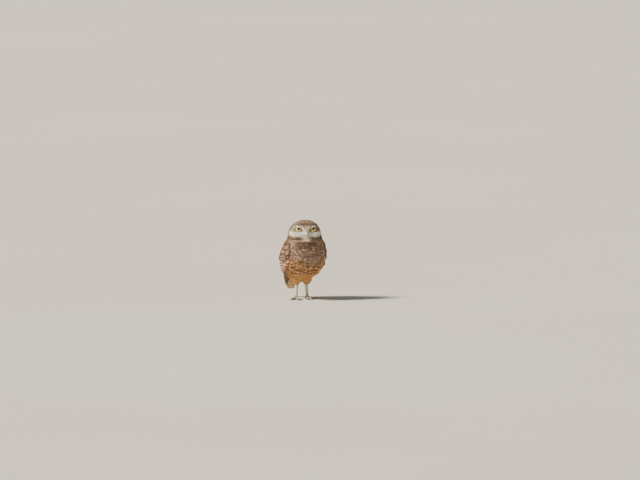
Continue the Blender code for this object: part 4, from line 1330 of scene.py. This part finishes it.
def shoulder_places():
    """Places of the small coverts in rows over the top of the left wing."""
    rng = np.random.default_rng(SEED)
    z, angle = [], []
    for row, height in enumerate(np.arange(*SHOULDER_ROWS)):
        back, front = in_table(WING_EDGES, height)
        back, front = back + 2, front + 1.5
        count = int((front - back) * MM_PER_DEGREE / SHOULDER_STEP)
        for k in range(count):
            z.append(height + rng.uniform(-0.9, 0.9))
            angle.append(back + (front - back) * (k + 0.5 * (row % 2) + rng.uniform(-0.2, 0.2)) / count)
    z, angle = np.array(z), np.array(angle)
    points, outward = over_bed(z, angle, 2.2 + 1.7 * smooth_step(z, 120, 108))
    up, round_, _ = bed_slopes(z, angle)
    flow = along_surface(-unit(up) - 0.35 * unit(round_), outward)
    return points, outward, flow


def small_coverts(name, side):
    """The scale-like coverts of the shoulder, which hide where the wing joins the body."""
    points, outward, flow = shoulder_places()
    mirror = (side, 1, 1)
    spots = np.stack((0.05 + 0.9 * (points[:, 1] - points[:, 1].min()) / 0.11, points[:, 2] / 0.15), axis=1)
    mesh = mesh_of_places(points * mirror, spots, outward * mirror)
    write_given_plumage(mesh, WING_BROWN, WING_SPOT, (0.85, 0.0, 0.0), flow * mirror)
    return grow_coat(name, mesh, "contour", "", 0, 10.5, 7.0, 0.09, 0.08, 12)


def flank_feathers(name, side):
    """Feathers of the flank that lie over the lower front edge of a folded wing."""
    rng = np.random.default_rng(SEED + 1)
    z, angle = [], []
    for height in np.arange(*FLANK_ROWS):
        front = in_table(WING_EDGES, height)[1]
        z += [height, height + 0.7]
        angle += [front + rng.uniform(1, 5), front + rng.uniform(-2, 1.5)]
    z, angle = np.array(z), np.array(angle)
    points, outward = over_bed(z, angle, np.ones(len(z)))
    points, outward = points * (side, 1, 1), outward * (side, 1, 1)
    mesh = mesh_of_places(points, np.stack((z / 150, (angle % 60) / 60), axis=1), outward)
    write_plumage(mesh, points, outward)
    write_field(mesh, "size", np.full(len(z), 0.85))
    return grow_coat(name, mesh, "contour", "", 0, 13.0, 8.0, 0.12, 0.10, 19)


def build_wings():
    feather = bpy.data.materials[FEATHER]
    vanes = wing_tiers()
    for name, side in SIDES:
        tiers = vanes.mesh(mirrored=side < 0)
        add_piece(f"wing_{name}_vanes", tiers, feather, "feather_brown", f"wing_{name}")
        add_piece(f"wing_{name}_underlayer", wing_underlayer(side), feather, "feather_brown")
        coverts = small_coverts(f"wing_{name}_small_coverts", side)
        with_fringe(coverts, "feather_brown", 2.0, 1.9, 17)
        finish(coverts, "feather_brown")
        flank = flank_feathers(f"flank_{name}", side)
        with_fringe(flank, "feather_breast", 3.2, 1.7, 20)
        finish(flank, "feather_breast")


def build_tail():
    feather = bpy.data.materials[FEATHER]
    add_piece("tail_vanes", tail_feathers(), feather, "feather_brown", "tail")
    base = tail_underlayer()
    sizes = (3.4, 13.5, 8.0)
    coverts = grow_coat("tail_coverts", base.copy(), "contour", "tail_coverts", *sizes, 0.1, 0.08, 14)
    finish(coverts, "feather_brown")
    add_piece("tail_underlayer", base, feather, "feather_brown")


GAZE_OUT, GAZE_UP = math.radians(8), math.radians(9)  # how far each eye looks from straight ahead
CORNEA_BULGE = 0.045
PUPIL_EDGE, IRIS_EDGE = 19.0 / 90, 56.0 / 90  # from the middle of the gaze, as shares of a quarter turn
EYE_RINGS, EYE_SEGMENTS = 60, 48
LID_HALF_WIDTH, LID_DOWN = 7.2, 6.2
LID_UP_INNER, LID_UP_OUTER = 3.2, 4.9  # the upper lid slants down towards the bill
LID_TURN = math.radians(14)
# The lid's section from its edge outwards: its size against the opening, its height over the eyeball in mm
# and whether it carries feathers
LID_SECTION = (
    (0.96, 0.05, 0),
    (0.99, 0.65, 0),
    (1.05, 0.95, 0.2),
    (1.15, 0.85, 1),
    (1.34, 0.35, 1),
    (1.52, -1.2, 1),
    (1.2, -1.2, 0),
)
CERE_AT, CERE_SPREAD, CERE_SWELL = 0.17, 0.12, 0.10  # shares of the bill's length and width
NOSTRIL_AT, NOSTRIL_SPREAD, NOSTRIL_DEPTH = 0.23, 0.035, 0.22
BILL_ROOT, BILL_REACH, BILL_DROP = (3.6, -4.8), 17.0, 10.4
LOWER_ROOT, LOWER_REACH, LOWER_DROP = (4.1, -11.0), 11.6, 2.2
ANKLE = (14.0, 6.0)
# Each toe: heading from straight ahead, outwards positive, length, claw length
TOES = {
    "inner": (-18, 18.5, 8.5),
    "middle": (8, 22.0, 9.0),
    "outer": (62, 18.0, 8.0),
    "hind": (172, 12.5, 8.0),
}
TOE_END_HEIGHT = 1.7
TOE_ROUNDING = 2.2  # the toe's end is rounded over this length
TOE_END_TAPER = 0.36
SCUTE, SCUTE_RELIEF = 1.7, 0.38  # length and height of one scale on top of a toe
SOLE = 0.00002  # the lowest points, just over the floor
CLAW_RADIUS, CLAW_POINT, CLAW_ARCH, CLAW_FALL = 1.38, 0.12, 1.1, 1.55


def eyeball(node, outwards):
    """A ball with the clear bulge in front of its iris. Each point knows its angle from the gaze, as a share
    of a quarter turn."""
    _, side, front, up = head_axes()
    gaze = front * math.cos(GAZE_OUT) + side * math.sin(GAZE_OUT) * outwards
    gaze = gaze * math.cos(GAZE_UP) + up * math.sin(GAZE_UP)
    across = np.cross(up, gaze)
    across /= np.linalg.norm(across)
    over = np.cross(gaze, across)
    turn = np.linspace(0, 2 * math.pi, EYE_SEGMENTS, endpoint=False)
    circle = np.outer(np.cos(turn), across) + np.outer(np.sin(turn), over)
    rings, angles = [], np.linspace(0.6, 179.4, EYE_RINGS)
    for angle in angles:
        bulge = 1 + CORNEA_BULGE * smooth_step(angle, 60, 15)
        ring = circle * math.sin(math.radians(angle)) + gaze * math.cos(math.radians(angle))
        rings.append(np.array(middle_of(node)) + ring * EYE_RADIUS * bulge)
    mesh = loft(rings)
    write_field(mesh, "off_axis", np.repeat(angles / 90, EYE_SEGMENTS))
    return mesh


def eye_material():
    """A wet eye: clear and mirror-smooth in front, a lemon-yellow iris with fine spokes, a black pupil."""
    made, tree, shader = new_material("wet_yellow_iris", 0.25)
    off_axis = add_node(tree, ATTRIBUTE, attribute_name="off_axis")
    ramp = add_node(tree, RAMP, {"Fac": off_axis.outputs["Fac"]})
    stops = (
        (0.0, "040303"),
        (PUPIL_EDGE, "060403"),
        (PUPIL_EDGE + 0.012, "7a5a10"),
        (PUPIL_EDGE + 0.06, "e0c040"),
        (0.45, "f4dc66"),
        (IRIS_EDGE - 0.06, "dfbb3c"),
        (IRIS_EDGE, "2a1c0c"),
        (0.75, "120c09"),
    )
    colour_stops(ramp.color_ramp, stops)
    place = add_node(tree, COORDINATES).outputs["Object"]
    spokes = add_node(tree, NOISE, {"Vector": place, "Scale": 1500.0, "Detail": 2.0})
    bright = add_node(tree, MATH, {0: spokes, 1: 0.5, 2: 0.75}, operation="MULTIPLY_ADD")
    toned = add_node(tree, SHADE, {"Value": bright, "Color": ramp})
    tree.links.new(toned.outputs[0], shader.inputs["Base Color"])
    shader.inputs["Coat Weight"].default_value = 1.0
    shader.inputs["Coat Roughness"].default_value = 0.03
    shader.inputs["Coat IOR"].default_value = 1.38
    return made


def lids(side):
    """The rims of both lids: a soft roll that hugs the eye and sinks under the feathers outwards."""
    rings = []
    for t in np.radians(np.arange(0, 360, 7.5)):
        x, s = LID_HALF_WIDTH * math.cos(t), math.sin(t)
        slant = LID_UP_INNER + (LID_UP_OUTER - LID_UP_INNER) * (math.cos(t) * 0.5 + 0.5)
        z = (slant if s > 0 else LID_DOWN) * s
        ring = []
        for grow, lift, _ in LID_SECTION:
            up_reach = 1 + 1.5 * max(s, 0) * (grow > 1.1)
            px, pz = x * grow, z * (1 + (grow - 1) * up_reach)
            py = math.sqrt(max((EYE_RADIUS / MM + lift) ** 2 - px * px - pz * pz, 4.0))
            aside = px * math.cos(LID_TURN) + py * math.sin(LID_TURN) + EYE_SIDE
            ring.append((side * aside, py * math.cos(LID_TURN) - px * math.sin(LID_TURN), pz))
        rings.append(ring)
    mesh = loft(from_head(rings), round_about=True)
    write_plumage(mesh, *read_points(mesh))
    cover = [row[2] for row in LID_SECTION]
    write_field(mesh, "face", np.tile(cover, len(rings)))
    write_field(mesh, "size", np.full(len(mesh.vertices), 0.5))
    unwrap(mesh)
    return mesh


def bare_skin_material(name, dark, pale, grain_mm, rough):
    """Bare skin or horn: two tones in soft patches and a fine pebbled surface."""
    made, tree, shader = new_material(name, rough)
    place = add_node(tree, COORDINATES).outputs["Object"]
    patches = add_node(tree, NOISE, {"Vector": place, "Scale": 220.0, "Detail": 4.0})
    ramp = add_node(tree, RAMP, {"Fac": patches})
    colour_stops(ramp.color_ramp, ((0.3, dark), (0.7, pale)))
    tree.links.new(ramp.outputs[0], shader.inputs["Base Color"])
    pebbles = add_node(tree, "ShaderNodeTexVoronoi", {"Vector": place, "Scale": 1 / (grain_mm * MM)})
    relief = add_node(tree, BUMP, {"Height": pebbles, "Strength": 0.35, "Distance": 0.0002})
    tree.links.new(relief.outputs[0], shader.inputs["Normal"])
    return made


def bill_half(root, reach, drop, half_width, half_depth, power, upper):
    """Half of the bill, from its root in the feathers to its tip. Each point knows how far along it is."""
    rings, along = [], []
    for t in np.linspace(0, 1, 30):
        a = t * math.pi / 2
        b0, c0 = root[0] + reach * math.sin(a), root[1] - drop * (1 - math.cos(a))
        down = np.array((-drop * math.sin(a), -reach * math.cos(a)))
        down /= np.linalg.norm(down)
        taper = (1 - t**power) * 0.95 + 0.05
        cere = 1 + upper * CERE_SWELL * math.exp(-(((t - CERE_AT) / CERE_SPREAD) ** 2))
        ring = []
        for angle in np.radians(np.arange(0, 360, 12)):
            s, c = math.sin(angle), math.cos(angle)
            pinch = 1 - upper * 0.30 * max(0, -s) ** 1.4
            off_nostril = ((t - NOSTRIL_AT) / NOSTRIL_SPREAD) ** 2 + ((s + 0.42) / 0.22) ** 2
            nostril = upper * math.exp(-off_nostril)
            wide = half_width * taper * cere * c * pinch * (1 - NOSTRIL_DEPTH * nostril)
            deep = half_depth * taper * cere * s * (0.86 if s > 0 and upper else 1)
            ring.append((wide, b0 + down[0] * deep, c0 + down[1] * deep))
            along.append((t, nostril))
        rings.append(ring)
    mesh = loft(from_head(rings))
    along = np.array(along)
    write_field(mesh, "along", along[:, 0])
    write_field(mesh, "nostril", along[:, 1])
    return mesh


def bill_material():
    """Horn grown in layers: grey-brown at the root, pale yellowish beyond, smooth, faintly streaked."""
    made, tree, shader = new_material("layered_bill_horn", 0.38)
    along = add_node(tree, ATTRIBUTE, attribute_name="along")
    ramp = add_node(tree, RAMP, {"Fac": along.outputs["Fac"]})
    stops = (
        (0.0, "6d6657"),
        (0.26, "8b846f"),
        (0.36, "c9c2a4"),
        (0.75, "d8d0ac"),
        (0.93, "a89d78"),
        (1.0, "6b604a"),
    )
    colour_stops(ramp.color_ramp, stops)
    nostril = add_node(tree, ATTRIBUTE, attribute_name="nostril")
    # The nostrils are painted near black: painted shade of the openings, which the mesh only dents
    nostril_painted_shade = add_node(tree, REMAP, {0: nostril.outputs["Fac"], 1: 0.35, 2: 0.75})
    dark = add_node(tree, "ShaderNodeMix", {0: nostril_painted_shade, 6: ramp, 7: (*linear("1c1713"), 1)}, data_type="RGBA")
    place = add_node(tree, COORDINATES).outputs["Object"]
    streaks = add_node(tree, NOISE, {"Vector": place, "Scale": 900.0, "Detail": 3.0})
    bright = add_node(tree, MATH, {0: streaks, 1: 0.35, 2: 0.82}, operation="MULTIPLY_ADD")
    toned = add_node(tree, SHADE, {"Value": bright, "Color": dark.outputs[2]})
    tree.links.new(toned.outputs[0], shader.inputs["Base Color"])
    relief = add_node(tree, BUMP, {"Height": streaks, "Strength": 0.12, "Distance": 0.0002})
    tree.links.new(relief.outputs[0], shader.inputs["Normal"])
    return made


def build_face():
    """Eyes, lids and bill."""
    iris = eye_material()
    # Thin bare skin at the rims of the lids: nearly black, partly the rim's own dark skin and partly painted
    # shade under the brow, with a dull moist gleam
    rim = bare_skin_material("bare_lid_skin", "1d1613", "33271f", 0.5, 0.5)
    for name, side in SIDES:
        add_piece(f"eyeball_{name}", eyeball(f"eye_{name}", side), iris, "iris_yellow", f"eye_{name}")
        lid = lids(side)
        sizes = (0.7, 3.6, 2.4)
        coat = grow_coat(f"lid_feathers_{name}", lid.copy(), "tuft", "face", *sizes, 0.12, 0.10, 18)
        finish(coat, "feather_brown")
        add_piece(f"lids_{name}", lid, rim, "feather_brown")
    horn = bill_material()
    halves = (
        ("upper", bill_half(BILL_ROOT, BILL_REACH, BILL_DROP, 4.4, 4.6, 1.7, True)),
        ("lower", bill_half(LOWER_ROOT, LOWER_REACH, LOWER_DROP, 3.5, 2.1, 2.0, False)),
    )
    for name, mesh in halves:
        add_piece(f"bill_{name}_horn", mesh, horn, "bill_horn", f"bill_{name}")


def ankle_of(side):
    """The place on the floor below an ankle, which its toes are measured from."""
    return np.array(trunk_middle()) + np.array((side * ANKLE[0], ANKLE[1], 0)) * MM


def toe_way(side, heading):
    """The level direction of a toe."""
    turn = math.radians(heading)
    return np.array((side * math.sin(turn), -math.cos(turn), 0))


def leg_skin(name, side):
    """Tarsus and foot in one closed skin, with round toe ends and rows of scales across each toe."""
    mesh = closed_skin((f"tarsus_{name}", f"foot_{name}"), LEG_GROWTH, LEG_VOXEL, 5)
    points, normals = read_points(mesh)
    ankle = ankle_of(side)
    flat = (points - ankle) * (1, 1, 0) / MM
    rise = np.zeros(len(points))
    for heading, length, _ in TOES.values():
        way = toe_way(side, heading)
        along = flat @ way
        aside = np.linalg.norm(flat - np.outer(along, way), axis=1)
        near = smooth_step(aside, 3.2, 2.2)
        scales = np.abs(np.sin(math.pi * along / SCUTE)) ** 0.6
        rise = np.maximum(rise, near * smooth_step(along, 2.5, 4.5) * scales)
        axis = ankle + np.outer(along, way) * MM + (0, 0, TOE_END_HEIGHT * MM)
        end = smooth_step(along, length - TOE_ROUNDING, length) ** 2 * near
        points = points + (axis - points) * (TOE_END_TAPER * end)[:, None]
    rise *= smooth_step(normals[:, 2], 0.1, 0.6) * smooth_step(points[:, 2] / MM, 9, 6)
    points = points + normals * (rise * SCUTE_RELIEF * MM)[:, None]
    points[:, 2] = np.maximum(points[:, 2], SOLE)
    write_points(mesh, points)
    return mesh


def claw(side, heading, length, reach):
    """One claw: round above, tapering in a low arch down to the floor."""
    way = toe_way(side, heading)
    across = np.array((-way[1], way[0], 0))
    base = ankle_of(side) / MM + (0, 0, TOE_END_HEIGHT)
    rings = []
    for t in np.linspace(0, 1, 20):
        centre = base + way * (length - 0.6 + (reach + 0.6) * t)
        centre[2] += 0.3 + CLAW_ARCH * math.sin(math.pi * t) ** 1.3 - CLAW_FALL * t**2
        radius = CLAW_RADIUS * (1 - t) ** 0.75 + CLAW_POINT
        ring = []
        for angle in np.radians(np.arange(0, 360, 22.5)):
            s, c = math.sin(angle), math.cos(angle)
            height = radius * s * (1 if s > 0 else 0.8)
            ring.append(centre + across * radius * 0.86 * c + np.array((0, 0, height)))
        rings.append(ring)
    places = np.array(rings) * MM
    places[..., 2] = np.maximum(places[..., 2], SOLE)
    return loft(places)


def leg_plumage(skin, side):
    """Short pale bristles down the tarsus, thinner and smaller over the toes, which they run out along."""
    points, normals = read_points(skin)
    ankle = ankle_of(side)
    z = points[:, 2] / MM
    outwards = unit((points - ankle) * (1, 1, 0) + (0, 0, 1e-6))
    foot = smooth_step(z, 10, 5)[:, None]
    flow = along_surface(np.array((0, 0.1, -1)) * (1 - foot) + outwards * foot, normals)
    reach = np.linalg.norm((points - ankle)[:, :2], axis=1) / MM
    bristles = smooth_step(z, 7, 12) + 0.5 * smooth_step(normals[:, 2], 0.2, 0.5) * smooth_step(reach, 14, 8)
    size = 0.55 + 0.45 * smooth_step(z, 6, 24)
    write_given_plumage(skin, LEG_WHITE, THIGH_BUFF, (0, 0, 0.3), flow, size)
    write_field(skin, "thigh", np.clip(bristles, 0, 1))
    unwrap(skin)


def build_legs():
    # Scaled skin of the toes: dull grey-brown, pebbled, creased across by the scales
    scaled = bare_skin_material("scaled_leg_skin", "6f6456", "9d927f", 0.9, 0.6)
    # Claw horn: near black with a soft gleam along the top
    horn = bare_skin_material("dark_claw_horn", "17120f", "2c241e", 0.6, 0.3)
    for name, side in SIDES:
        skin = leg_skin(name, side)
        leg_plumage(skin, side)
        sizes = (0.85, 3.6, 2.2)
        coat = grow_coat(f"leg_{name}_bristles", skin.copy(), "tuft", "thigh", *sizes, 0.10, 0.14, 16)
        finish(coat, "leg_feathers")
        add_piece(f"leg_{name}_skin", skin, scaled, "toe_skin", f"tarsus_{name}", f"foot_{name}")
        claws = merged([claw(side, *toe) for toe in TOES.values()])
        add_piece(f"claws_{name}", claws, horn, "claw_horn", *(f"claw_{toe}_{name}" for toe in TOES))


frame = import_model()
add_camera()
add_lights()
add_floor()
make_feathers()
plumage_material(FEATHER)
build_plumage()
build_wings()
build_tail()
build_face()
build_legs()
remove_feathers()
